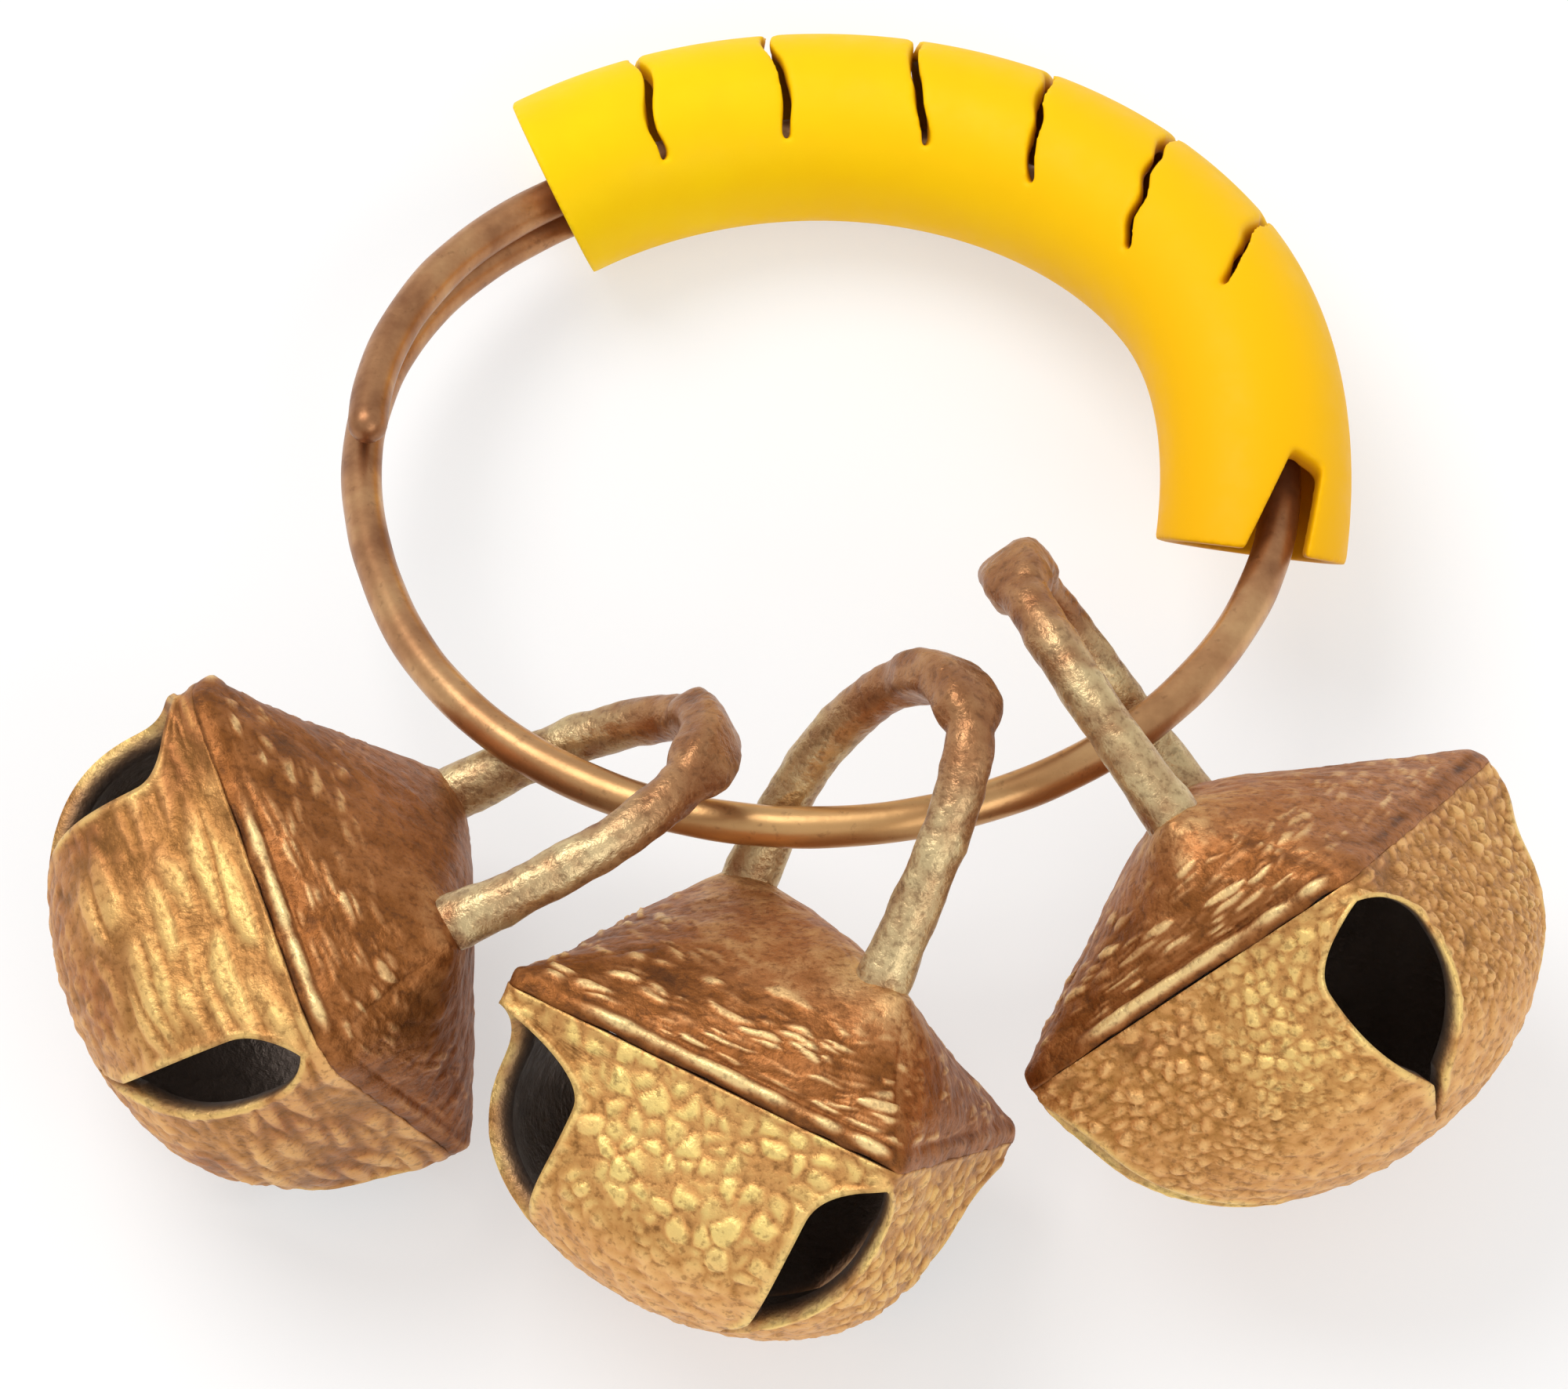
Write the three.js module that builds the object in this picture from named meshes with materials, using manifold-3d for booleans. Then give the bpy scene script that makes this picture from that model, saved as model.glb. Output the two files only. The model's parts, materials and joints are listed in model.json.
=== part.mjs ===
// Finger bells: three cast brass crotal bells threaded on a bent copper wire ring with a slit vinyl grip.
// Millimetres, +Z up. The object lies on a table and its origin is under the middle of its box.
import * as THREE from 'three';
import { mergeVertices } from 'three/addons/utils/BufferGeometryUtils.js';
import Module from 'manifold-3d';

const wasm = await Module();
wasm.setup();

// Clearance left between pieces that touch on the real object
const CLEARANCE = 0.3;

// Wire ring: a wire bent round until its ends overlap, one end hidden in the grip and one end free
const WIRE_DIAMETER = 2.05;
const RING_RADIUS = 22.8;
const RING_TILT = 16;
const RING_LEAN = 2.3;
const RING_SWELL = 1.2;
const RING_SWELL_ANGLE = 150;
const RING_SWELL_HALF_ANGLE = 50;
const HIDDEN_END_ANGLE = 96;
const FREE_END_ANGLE = 173;
const OVERLAP_LEAN = 10;
const OVERLAP_RAMP_ANGLE = 45;
const WIRE_SIDES = 10;
const WIRE_STEP_ANGLE = 5;

// Finger grip: a vinyl tube round the back of the ring, cut off aslant at its ends and slit across its outer
// side so that it bends
const GRIP_OUTER_DIAMETER = 9.6;
const GRIP_WALL = 1.1;
const GRIP_PUSH = 0.674;
const GRIP_PUSH_ANGLE = 136;
const GRIP_FIRST_ANGLE = -11.5;
const GRIP_LAST_ANGLE = 123.5;
const GRIP_STRAIGHT_END = 3.4;
const GRIP_DROOP = 2.9;
const GRIP_DROOP_ANGLE = 45;
const GRIP_DROOP_LEAN = 28;
const GRIP_FIRST_SLANT = 15;
const GRIP_LAST_SLANT = 16;
const GRIP_LAST_TURN = 14;
const GRIP_SIDES = 20;
const GRIP_STEP_ANGLE = 5;
const SLIT_COUNT = 6;
const SLIT_LAST_ANGLE = 112;
const SLIT_PITCH_ANGLE = 15.5;
const SLIT_PITCH_GROWTH = 0.45;
const SLIT_WIDTH = 1;
const SLIT_ROOT_WIDTH = 0.35;
const SLIT_DEPTH = 5.4;
const SLIT_SHALLOW_DEPTH = 2.4;
const SLIT_LEAN = 45;
const SLIT_FOLLOW = 0.35;
const SLIT_EVEN_ANGLE = 97;
const NOTCH_LENGTH = 3.6;
const NOTCH_WIDTH = 3.1;
const NOTCH_LEAN = 22;
const NOTCH_ROOT_WIDTH = 1.8;

// Bell: a square crown with a ridge along one diagonal, over a rounded bowl with a mouth under each corner
const CROWN_HALF_DIAGONAL = 15.5;
const CROWN_HEIGHT = 7.5;
const CROWN_WALL = 1.6;
const CROWN_CONCAVITY = 0.22;
const CROWN_ROWS = 4;
const RIDGE_HALF_WIDTH = 1.9;
const RIDGE_HALF_LENGTH = 9.4;
const BEAD_PROUD = 0.3;
const BEAD_HEIGHT = 1;
const BOWL_HALF_DIAGONAL = 14.7;
const BOWL_DEPTH = 13.2;
const BOWL_WALL = 1.8;
const BOWL_ROUND_LATITUDE = 72;
const BOWL_ROWS = 9;
const BELL_SIDES = 40;
const MOUTH_TOP_DEPTH = 0.9;
const MOUTH_WIDEST_DEPTH = 4;
const MOUTH_SLOT_WIDTH = 0.9;
const MOUTH_SLOT_DEPTH = 10.6;
const MOUTH_END_DEPTH = 12.4;
const POLE_BUTTON_RADIUS = 4.2;

// Loop: a cast rod arched over the ridge of the crown
const LOOP_ROD_DIAMETER = 2.7;
const LOOP_HEIGHT = 13.3;
const LOOP_HALF_WIDTH = 7.5;
const LOOP_OFFSET = -0.5;
const LOOP_FULLNESS = 0.8;
const LOOP_SIDES = 8;
const LOOP_STEPS = 20;

// Pellet loose in each bell
const PELLET_DIAMETER = 7;

// Where each bell hangs: its place round the ring, where the wire touches the lower leg of its loop, how far
// it has swung down about the wire, its yaw in the ring's plane, its roll about its own axis, and its play
const HANGS = {
  left_bell: { ringAngle: 227.6, seatHeight: 3.4, swing: 26.6, yaw: -32.6, roll: -50.1, play: 0 },
  middle_bell: { ringAngle: 264.3, seatHeight: 2.8, swing: 49.1, yaw: -20.8, roll: -34.2, play: 0 },
  right_bell: { ringAngle: 317.9, seatHeight: 3.7, swing: 35.6, yaw: -3.8, roll: 11.9, play: 0.6 },
};

// How each casting came out: the widths of its mouths in turn, the lean of its loop towards one foot, and how
// far its ridge and loop are out of line with its corners
const CASTINGS = {
  left_bell: { mouthWidths: [4.6, 3.6, 4, 4], loopLean: 0, skew: 0 },
  middle_bell: { mouthWidths: [6.2, 4.8, 4.8, 5], loopLean: 2.6, skew: 0 },
  right_bell: { mouthWidths: [1.6, 6.2, 4, 5], loopLean: 0, skew: -22.5 },
};

const rad = THREE.MathUtils.degToRad;

const brassBowl = new THREE.MeshStandardMaterial({ color: 0xc4893f, roughness: 0.45, metalness: 0.9 });
const brownCrown = new THREE.MeshStandardMaterial({ color: 0x99582f, roughness: 0.5, metalness: 0.85 });
const paleLoop = new THREE.MeshStandardMaterial({ color: 0xc8a24c, roughness: 0.45, metalness: 0.9 });
const darkIron = new THREE.MeshStandardMaterial({ color: 0x5d564f, roughness: 0.6, metalness: 0.8 });
const copperWire = new THREE.MeshStandardMaterial({ color: 0xa86c3a, roughness: 0.35, metalness: 1 });
const yellowVinyl = new THREE.MeshStandardMaterial({ color: 0xffc800, roughness: 0.42, metalness: 0 });

// A solid for cutting, from a closed geometry
function toSolid(geometry) {
  const bare = geometry.clone();
  bare.deleteAttribute('normal');
  bare.deleteAttribute('uv');
  const merged = mergeVertices(bare, 1e-4);
  return new wasm.Manifold(new wasm.Mesh({
    numProp: 3,
    vertProperties: new Float32Array(merged.attributes.position.array),
    triVerts: new Uint32Array(merged.index.array),
  }));
}

function toGeometry(solid) {
  const { vertProperties, triVerts } = solid.getMesh();
  const geometry = new THREE.BufferGeometry();
  geometry.setAttribute('position', new THREE.BufferAttribute(new Float32Array(vertProperties), 3));
  geometry.setIndex(new THREE.BufferAttribute(new Uint32Array(triVerts), 1));
  geometry.computeVertexNormals();
  return geometry;
}

function circle(Outline, radius, sides) {
  const points = [];
  for (let i = 0; i < sides; i += 1) {
    const angle = (i / sides) * Math.PI * 2;
    points.push(new THREE.Vector2(Math.cos(angle) * radius, Math.sin(angle) * radius));
  }
  return new Outline(points);
}

function extruded(shape, curve, steps) {
  return new THREE.ExtrudeGeometry(shape, { steps, extrudePath: curve, bevelEnabled: false });
}

// Trapezoid prism for a wedge-shaped cut: its root at y = 0, its mouth at y = depth, centred on x and z
function wedge(rootWidth, mouthWidth, depth, across) {
  const outline = new THREE.Shape();
  outline.moveTo(-rootWidth / 2, 0);
  outline.lineTo(rootWidth / 2, 0);
  outline.lineTo(mouthWidth / 2, depth);
  outline.lineTo(-mouthWidth / 2, depth);
  const geometry = new THREE.ExtrudeGeometry(outline, { depth: across, bevelEnabled: false });
  geometry.translate(0, 0, -across / 2);
  return geometry;
}

// Wire from its hidden end once round the ring, rising to lie along its own start and swelling out there
class WirePath extends THREE.Curve {
  getPoint(t, target = new THREE.Vector3()) {
    const overlap = FREE_END_ANGLE - HIDDEN_END_ANGLE;
    const angle = HIDDEN_END_ANGLE + t * (360 + overlap);
    const full = HIDDEN_END_ANGLE + 360 - WIRE_STEP_ANGLE;
    const shift = THREE.MathUtils.smoothstep(angle, full - OVERLAP_RAMP_ANGLE, full);
    const offset = shift * (WIRE_DIAMETER + CLEARANCE);
    const beside = (angle % 360 - RING_SWELL_ANGLE) / RING_SWELL_HALF_ANGLE;
    const swell = RING_SWELL * Math.cos(rad(90) * THREE.MathUtils.clamp(beside, -1, 1)) ** 2;
    const radius = RING_RADIUS + swell - offset * Math.sin(rad(OVERLAP_LEAN));
    const rise = offset * Math.cos(rad(OVERLAP_LEAN));
    return target.set(radius * Math.cos(rad(angle)), radius * Math.sin(rad(angle)), rise);
  }
}

function ringWire() {
  const turnAngle = 360 + FREE_END_ANGLE - HIDDEN_END_ANGLE;
  const steps = Math.round(turnAngle / WIRE_STEP_ANGLE);
  return extruded(circle(THREE.Shape, WIRE_DIAMETER / 2, WIRE_SIDES), new WirePath(), steps);
}

// Bore of the tube, its play round the wire and the share of the play by which it is pushed over to one side
const GRIP_BORE = GRIP_OUTER_DIAMETER - 2 * GRIP_WALL;
const GRIP_SLACK = (GRIP_BORE - WIRE_DIAMETER) / 2 - CLEARANCE;
const GRIP_SHIFT = GRIP_PUSH * GRIP_SLACK;

// Height of the tube above the wire, which lies low in its bore, also where its end springs straight
const GRIP_SPRING = Math.hypot(RING_RADIUS, GRIP_STRAIGHT_END) - RING_RADIUS;
const GRIP_LIFT = Math.sqrt(GRIP_SLACK ** 2 - (GRIP_SHIFT + GRIP_SPRING) ** 2);

// How far outside the wire the tube lies at an angle round the ring, being pushed over to one side
function gripShift(angle) {
  return GRIP_SHIFT * Math.cos(angle - rad(GRIP_PUSH_ANGLE));
}

// Middle line of the grip: drooping where the wire leaves its first end, then round, straight at its last
class GripPath extends THREE.Curve {
  getPoint(t, target = new THREE.Vector3()) {
    const arc = rad(GRIP_LAST_ANGLE - GRIP_FIRST_ANGLE) * RING_RADIUS;
    const run = t * (arc + GRIP_STRAIGHT_END);
    const angle = rad(GRIP_FIRST_ANGLE) + Math.min(run, arc) / RING_RADIUS;
    const past = Math.max(run - arc, 0);
    const into = rad(GRIP_FIRST_ANGLE + GRIP_DROOP_ANGLE) - angle;
    const droop = Math.max(into / rad(GRIP_DROOP_ANGLE), 0) ** 2;
    const endShift = -GRIP_DROOP * Math.sin(rad(GRIP_DROOP_LEAN));
    const endRise = -GRIP_DROOP * Math.cos(rad(GRIP_DROOP_LEAN));
    const radius = RING_RADIUS + THREE.MathUtils.lerp(gripShift(angle), endShift, droop);
    const rise = THREE.MathUtils.lerp(GRIP_LIFT, endRise, droop);
    const x = radius * Math.cos(angle) - past * Math.sin(angle);
    const y = radius * Math.sin(angle) + past * Math.cos(angle);
    return target.set(x, y, rise);
  }
}

// Cut placed on the tube at an angle round the ring, opening towards the outer side leant over from the top,
// and twisted out of the tube's cross-section
function gripCut(geometry, lean, twist, angle, shift, rise) {
  geometry.rotateZ(-rad(lean));
  geometry.rotateX(Math.PI / 2);
  geometry.rotateZ(rad(twist));
  geometry.translate(RING_RADIUS + shift, 0, rise);
  geometry.rotateZ(rad(angle));
  return toSolid(geometry);
}

// Cuts the tube off at one end of its path, slanting in under it and turned towards the inside of the ring
function slantedEnd(tube, path, t, slant, turn) {
  const upright = new THREE.Vector3(0, 0, 1);
  const out = path.getTangent(t).multiplyScalar(t < 0.5 ? -1 : 1).applyAxisAngle(upright, -rad(turn));
  const up = out.clone().cross(upright.cross(out).normalize());
  const reach = GRIP_OUTER_DIAMETER / 2;
  const topmost = path.getPoint(t).addScaledVector(up, reach);
  topmost.addScaledVector(out, -reach * Math.tan(rad(turn)));
  const kept = out.negate().multiplyScalar(Math.cos(rad(slant))).addScaledVector(up, Math.sin(rad(slant)));
  return tube.trimByPlane(kept.toArray(), kept.dot(topmost));
}

function fingerGrip() {
  const section = circle(THREE.Shape, GRIP_OUTER_DIAMETER / 2, GRIP_SIDES);
  section.holes.push(circle(THREE.Path, GRIP_BORE / 2, GRIP_SIDES));
  const arcAngle = GRIP_LAST_ANGLE - GRIP_FIRST_ANGLE;
  const steps = Math.round((arcAngle + GRIP_STRAIGHT_END) / GRIP_STEP_ANGLE);
  const path = new GripPath();
  let tube = toSolid(extruded(section, path, steps));
  tube = slantedEnd(tube, path, 0, GRIP_FIRST_SLANT, 0);
  tube = slantedEnd(tube, path, 1, GRIP_LAST_SLANT, GRIP_LAST_TURN);
  const depth = GRIP_OUTER_DIAMETER;
  for (let i = 0; i < SLIT_COUNT; i += 1) {
    const slit = wedge(SLIT_ROOT_WIDTH, SLIT_WIDTH, depth, 2 * GRIP_OUTER_DIAMETER);
    const cutDepth = i < SLIT_COUNT - 1 ? SLIT_DEPTH : SLIT_SHALLOW_DEPTH;
    slit.translate(0, GRIP_OUTER_DIAMETER / 2 - cutDepth, 0);
    slit.rotateY(Math.PI / 2);
    const angle = SLIT_LAST_ANGLE - SLIT_PITCH_ANGLE * i - SLIT_PITCH_GROWTH * i ** 2;
    const twist = (SLIT_EVEN_ANGLE - angle) * (1 - SLIT_FOLLOW);
    tube = tube.subtract(gripCut(slit, SLIT_LEAN, twist, angle, gripShift(rad(angle)), GRIP_LIFT));
  }
  const mouthWidth = 2 * NOTCH_WIDTH - NOTCH_ROOT_WIDTH;
  const notch = wedge(NOTCH_ROOT_WIDTH, mouthWidth, 2 * NOTCH_LENGTH, GRIP_OUTER_DIAMETER);
  notch.rotateX(Math.PI / 2);
  notch.translate(0, GRIP_OUTER_DIAMETER / 2 - GRIP_DROOP, -NOTCH_LENGTH);
  return toGeometry(tube.subtract(gripCut(notch, NOTCH_LEAN, 0, GRIP_FIRST_ANGLE, 0, 0)));
}

// How far a plan reaches at an angle: square with its corners on the axes at exponent 1, round at exponent 2
function planReach(angle, exponent) {
  const sum = Math.abs(Math.cos(angle)) ** exponent + Math.abs(Math.sin(angle)) ** exponent;
  return sum ** (-1 / exponent);
}

// A turned solid with each of its points moved in plan
function turned(profile, change) {
  const geometry = new THREE.LatheGeometry(profile, BELL_SIDES);
  geometry.rotateX(Math.PI / 2);
  const position = geometry.attributes.position;
  const point = new THREE.Vector3();
  for (let i = 0; i < position.count; i += 1) {
    point.fromBufferAttribute(position, i);
    const radius = Math.hypot(point.x, point.y);
    const angle = Math.atan2(point.y, point.x);
    const [x, y] = change(radius, angle, point.z);
    position.setXYZ(i, x, y, point.z);
  }
  return toSolid(geometry);
}

// Crown form, inset for its underside, standing on the level given as floor
function crownForm(inset, floor, proud, skew) {
  const rim = CROWN_HALF_DIAGONAL - inset * Math.SQRT2;
  const top = CROWN_HEIGHT - inset;
  const ridge = Math.max(RIDGE_HALF_WIDTH - inset, CLEARANCE);
  const stretch = RIDGE_HALF_LENGTH - inset - ridge;
  const foot = Math.max(floor, 0) + BEAD_HEIGHT;
  const profile = [new THREE.Vector2(0, floor), new THREE.Vector2(rim, floor)];
  profile.push(new THREE.Vector2(rim + proud, foot - BEAD_HEIGHT / 2));
  profile.push(new THREE.Vector2(rim - proud, foot));
  for (let i = 1; i <= CROWN_ROWS; i += 1) {
    const rise = i / CROWN_ROWS;
    const drawn = rise + CROWN_CONCAVITY * rise * (1 - rise);
    profile.push(new THREE.Vector2(rim - (rim - ridge) * drawn, foot + (top - foot) * rise));
  }
  profile.push(new THREE.Vector2(0, top));
  return turned(profile, (radius, angle, z) => {
    const rise = THREE.MathUtils.clamp((z - foot) / (top - foot), 0, 1);
    const along = stretch * rise * Math.min(1, radius / ridge) * Math.sin(angle - rad(skew));
    const plan = radius * planReach(angle, 1 + rise);
    const x = plan * Math.cos(angle) - along * Math.sin(rad(skew));
    const y = plan * Math.sin(angle) + along * Math.cos(rad(skew));
    return [x, y];
  });
}

function bellCrown(skew) {
  const outside = crownForm(0, CLEARANCE / 2, BEAD_PROUD, skew);
  const inside = crownForm(CROWN_WALL, -BEAD_HEIGHT, 0, skew);
  return toGeometry(outside.subtract(inside));
}

// Bowl form, inset for its inside, filled up to the level given as brim
function bowlForm(inset, brim) {
  const reach = BOWL_HALF_DIAGONAL - inset;
  const depth = BOWL_DEPTH - inset;
  const profile = [];
  for (let i = 0; i <= BOWL_ROWS; i += 1) {
    const latitude = rad(90) * (1 - i / BOWL_ROWS);
    profile.push(new THREE.Vector2(i === 0 ? 0 : reach * Math.cos(latitude), -depth * Math.sin(latitude)));
  }
  profile[BOWL_ROWS].y = brim;
  profile.push(new THREE.Vector2(0, brim));
  return turned(profile, (radius, angle, z) => {
    const latitude = Math.asin(THREE.MathUtils.clamp(-z / depth, 0, 1));
    const roundness = THREE.MathUtils.smoothstep(latitude, 0, rad(BOWL_ROUND_LATITUDE));
    const plan = radius * planReach(angle, 1 + roundness);
    return [plan * Math.cos(angle), plan * Math.sin(angle)];
  });
}

// Leaf-shaped mouth, round at its top under the corner and drawn out to a slot near the pole
function mouthCutter(width) {
  const belly = width / 2;
  const slot = MOUTH_SLOT_WIDTH / 2;
  const flank = (MOUTH_WIDEST_DEPTH + MOUTH_SLOT_DEPTH) / 2;
  const leaf = new THREE.Shape();
  leaf.moveTo(0, -MOUTH_TOP_DEPTH);
  leaf.quadraticCurveTo(-belly, -MOUTH_TOP_DEPTH, -belly, -MOUTH_WIDEST_DEPTH);
  leaf.quadraticCurveTo(-belly, -flank, -slot, -MOUTH_SLOT_DEPTH);
  leaf.lineTo(-slot, -MOUTH_END_DEPTH);
  leaf.lineTo(slot, -MOUTH_END_DEPTH);
  leaf.lineTo(slot, -MOUTH_SLOT_DEPTH);
  leaf.quadraticCurveTo(belly, -flank, belly, -MOUTH_WIDEST_DEPTH);
  leaf.quadraticCurveTo(belly, -MOUTH_TOP_DEPTH, 0, -MOUTH_TOP_DEPTH);
  const options = { depth: CROWN_HALF_DIAGONAL, curveSegments: 4, bevelEnabled: false };
  const geometry = new THREE.ExtrudeGeometry(leaf, options);
  geometry.rotateX(Math.PI / 2);
  geometry.translate(0, -POLE_BUTTON_RADIUS, 0);
  return geometry;
}

function bellBowl(mouthWidths) {
  let bowl = bowlForm(0, -CLEARANCE / 2).subtract(bowlForm(BOWL_WALL, BEAD_HEIGHT));
  mouthWidths.forEach((width, corner) => {
    const cutter = mouthCutter(width);
    cutter.rotateZ(rad(90 * (corner + 1)));
    bowl = bowl.subtract(toSolid(cutter));
  });
  return bowl;
}

// Arch of the loop in the plane of the ridge, from its lower foot over to its upper foot
class LoopArch extends THREE.Curve {
  constructor(lean) {
    super();
    this.lean = lean;
  }

  getPoint(t, target = new THREE.Vector3()) {
    const turn = Math.PI * THREE.MathUtils.clamp(t, 0, 1);
    const height = Math.abs(Math.sin(turn)) ** LOOP_FULLNESS;
    const y = LOOP_OFFSET - LOOP_HALF_WIDTH * Math.cos(turn) + this.lean * height ** 2;
    return target.set(0, y, CROWN_HEIGHT + CLEARANCE + LOOP_HEIGHT * height);
  }
}

function bellLoop(casting) {
  const section = circle(THREE.Shape, LOOP_ROD_DIAMETER / 2, LOOP_SIDES);
  return extruded(section, new LoopArch(casting.loopLean), LOOP_STEPS).rotateZ(rad(casting.skew));
}

function pelletBall(radius) {
  return new THREE.SphereGeometry(radius, 14, 9);
}

// How far the pellet lies from the middle of the shoulder, straight down onto the inside of the bowl
function pelletDrop(bowl, down) {
  let clear = 0;
  let blocked = BOWL_DEPTH;
  for (let step = 0; step < 12; step += 1) {
    const middle = (clear + blocked) / 2;
    const ball = pelletBall(PELLET_DIAMETER / 2 + CLEARANCE);
    ball.translate(down.x * middle, down.y * middle, down.z * middle);
    if (toSolid(ball).intersect(bowl).isEmpty()) {
      clear = middle;
    } else {
      blocked = middle;
    }
  }
  return clear;
}

function named(name, geometry, material) {
  const mesh = new THREE.Mesh(geometry, material);
  mesh.name = name;
  return mesh;
}

// Point of the bell that lies on the wire's middle line: beside the lower leg, where the two pass closest
function wireSeat(hang, casting, turn) {
  const arch = new LoopArch(casting.loopLean);
  const along = Math.asin((hang.seatHeight / LOOP_HEIGHT) ** (1 / LOOP_FULLNESS)) / Math.PI;
  const leg = arch.getPoint(along);
  const legDirection = arch.getTangent(along);
  const wireDirection = new THREE.Vector3(0, 1, 0).applyQuaternion(turn.clone().invert());
  const upright = new THREE.Vector3(0, 0, 1);
  leg.applyAxisAngle(upright, rad(casting.skew));
  legDirection.applyAxisAngle(upright, rad(casting.skew));
  const aside = legDirection.cross(wireDirection).normalize();
  if (aside.dot(leg.clone().setZ(0)) > 0) {
    aside.negate();
  }
  const distance = (LOOP_ROD_DIAMETER + WIRE_DIAMETER) / 2 + CLEARANCE + hang.play;
  return leg.addScaledVector(aside, distance);
}

// A bell in the frame of its spot on the ring: x outward, y along the wire, z along the ring's axis
function bellOnRing(name, ring) {
  const hang = HANGS[name];
  const casting = CASTINGS[name];
  const bowl = bellBowl(casting.mouthWidths);
  const hanging = new THREE.Matrix4().makeBasis(
    new THREE.Vector3(0, -1, 0),
    new THREE.Vector3(0, 0, 1),
    new THREE.Vector3(-1, 0, 0),
  );
  const posed = new THREE.Euler(rad(hang.roll), rad(hang.swing), rad(hang.yaw), 'YZX');
  const turn = new THREE.Quaternion().setFromEuler(posed);
  turn.multiply(new THREE.Quaternion().setFromRotationMatrix(hanging));
  const body = new THREE.Group();
  body.quaternion.copy(turn);
  body.position.copy(wireSeat(hang, casting, turn).applyQuaternion(turn).negate());
  body.add(named(`${name}_crown`, bellCrown(casting.skew), brownCrown));
  body.add(named(`${name}_bowl`, toGeometry(bowl), brassBowl));
  body.add(named(`${name}_loop`, bellLoop(casting), paleLoop));
  const spot = new THREE.Group();
  spot.rotation.z = rad(hang.ringAngle);
  spot.position.set(RING_RADIUS * Math.cos(spot.rotation.z), RING_RADIUS * Math.sin(spot.rotation.z), 0);
  spot.add(body);
  ring.add(spot);
  ring.updateMatrixWorld(true);
  const toBell = body.getWorldQuaternion(new THREE.Quaternion()).invert();
  const down = new THREE.Vector3(0, 0, -1).applyQuaternion(toBell);
  const pellet = named(`${name}_pellet`, pelletBall(PELLET_DIAMETER / 2), darkIron);
  pellet.position.copy(down).multiplyScalar(pelletDrop(bowl, down));
  body.add(pellet);
}

const ring = new THREE.Group();
ring.rotation.set(-rad(RING_TILT), -rad(RING_LEAN), 0, 'YXZ');
ring.add(named('ring_wire', ringWire(), copperWire));
ring.add(named('finger_grip', fingerGrip(), yellowVinyl));
Object.keys(HANGS).forEach((name) => bellOnRing(name, ring));

// Stands the whole on its lowest point, with the origin under the middle of its box
const fingerBells = new THREE.Group();
fingerBells.add(ring);
fingerBells.updateMatrixWorld(true);
const box = new THREE.Box3().setFromObject(fingerBells, true);
const middle = box.getCenter(new THREE.Vector3());
ring.position.set(-middle.x, -middle.y, -box.min.z);

export default fingerBells;
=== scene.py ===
import json
import math

import bmesh
import bpy
from mathutils import Matrix, Vector, kdtree, noise


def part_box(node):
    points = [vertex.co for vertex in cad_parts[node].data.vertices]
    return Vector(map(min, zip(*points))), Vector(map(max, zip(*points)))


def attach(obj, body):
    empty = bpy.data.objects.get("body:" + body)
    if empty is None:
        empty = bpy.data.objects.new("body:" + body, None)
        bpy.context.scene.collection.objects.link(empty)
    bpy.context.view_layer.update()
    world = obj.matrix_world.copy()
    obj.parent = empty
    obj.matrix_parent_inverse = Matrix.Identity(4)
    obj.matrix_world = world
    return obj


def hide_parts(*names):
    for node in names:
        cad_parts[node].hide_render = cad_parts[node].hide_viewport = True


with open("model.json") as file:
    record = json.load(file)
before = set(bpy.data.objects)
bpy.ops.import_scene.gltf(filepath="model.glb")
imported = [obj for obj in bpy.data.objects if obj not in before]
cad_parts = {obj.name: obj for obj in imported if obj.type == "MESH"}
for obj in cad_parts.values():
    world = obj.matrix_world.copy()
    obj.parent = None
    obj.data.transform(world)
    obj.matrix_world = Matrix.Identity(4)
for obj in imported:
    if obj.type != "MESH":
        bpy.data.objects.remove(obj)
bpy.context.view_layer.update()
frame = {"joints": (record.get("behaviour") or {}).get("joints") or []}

MM = 0.001

# Wire ring: a wire bent round until its ends overlap, one end hidden in the grip and one end free
WIRE_RADIUS = 1.025 * MM
RING_RADIUS = 22.8 * MM
RING_TILT = math.radians(16)
RING_LEAN = math.radians(2.3)
RING_SWELL = 1.2 * MM
RING_SWELL_ANGLE = math.radians(150)
RING_SWELL_HALF_ANGLE = math.radians(50)
HIDDEN_END = math.radians(96)
FREE_END = math.radians(360 + 173)
OVERLAP_START = math.radians(360 + 46)
OVERLAP_RAMP = math.radians(45)
OVERLAP_LEAN = math.radians(10)
OVERLAP_OFFSET = 2.3 * MM
WIRE_SIDES = 20
WIRE_STEPS = 420
WIRE_WAVER = 0.05 * MM
WIRE_WAVER_SIZE = 3 * MM
WIRE_HIGHLIGHT_ANGLE = math.radians(40)

# Finger grip: a vinyl tube pushed over to one side of the wire, cut off aslant at its ends, with slits across
# its outer side and a notch that lets the wire out
CLEARANCE = 0.3 * MM
GRIP_RADIUS = 4.8 * MM
GRIP_WALL = 1.1 * MM
GRIP_PUSH = 0.674
GRIP_PUSH_ANGLE = math.radians(136)
GRIP_FIRST = math.radians(-11.5)
GRIP_LAST = math.radians(123.5)
GRIP_STRAIGHT_END = 3.4 * MM
GRIP_DROOP = 2.9 * MM
GRIP_DROOP_ANGLE = math.radians(45)
GRIP_DROOP_LEAN = math.radians(28)
GRIP_FIRST_SLANT = math.radians(15)
GRIP_LAST_SLANT = math.radians(16)
GRIP_LAST_TURN = math.radians(14)
GRIP_SIDES = 64
GRIP_STEPS = 150
GRIP_VOXEL = 0.14 * MM
GRIP_SMOOTHING = 12
GRIP_THINNING = 0.4
SLIT_COUNT = 6
SLIT_LAST = math.radians(112)
SLIT_PITCH = math.radians(15.5)
SLIT_PITCH_GROWTH = math.radians(0.45)
SLIT_WIDTH = 0.48 * MM
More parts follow.
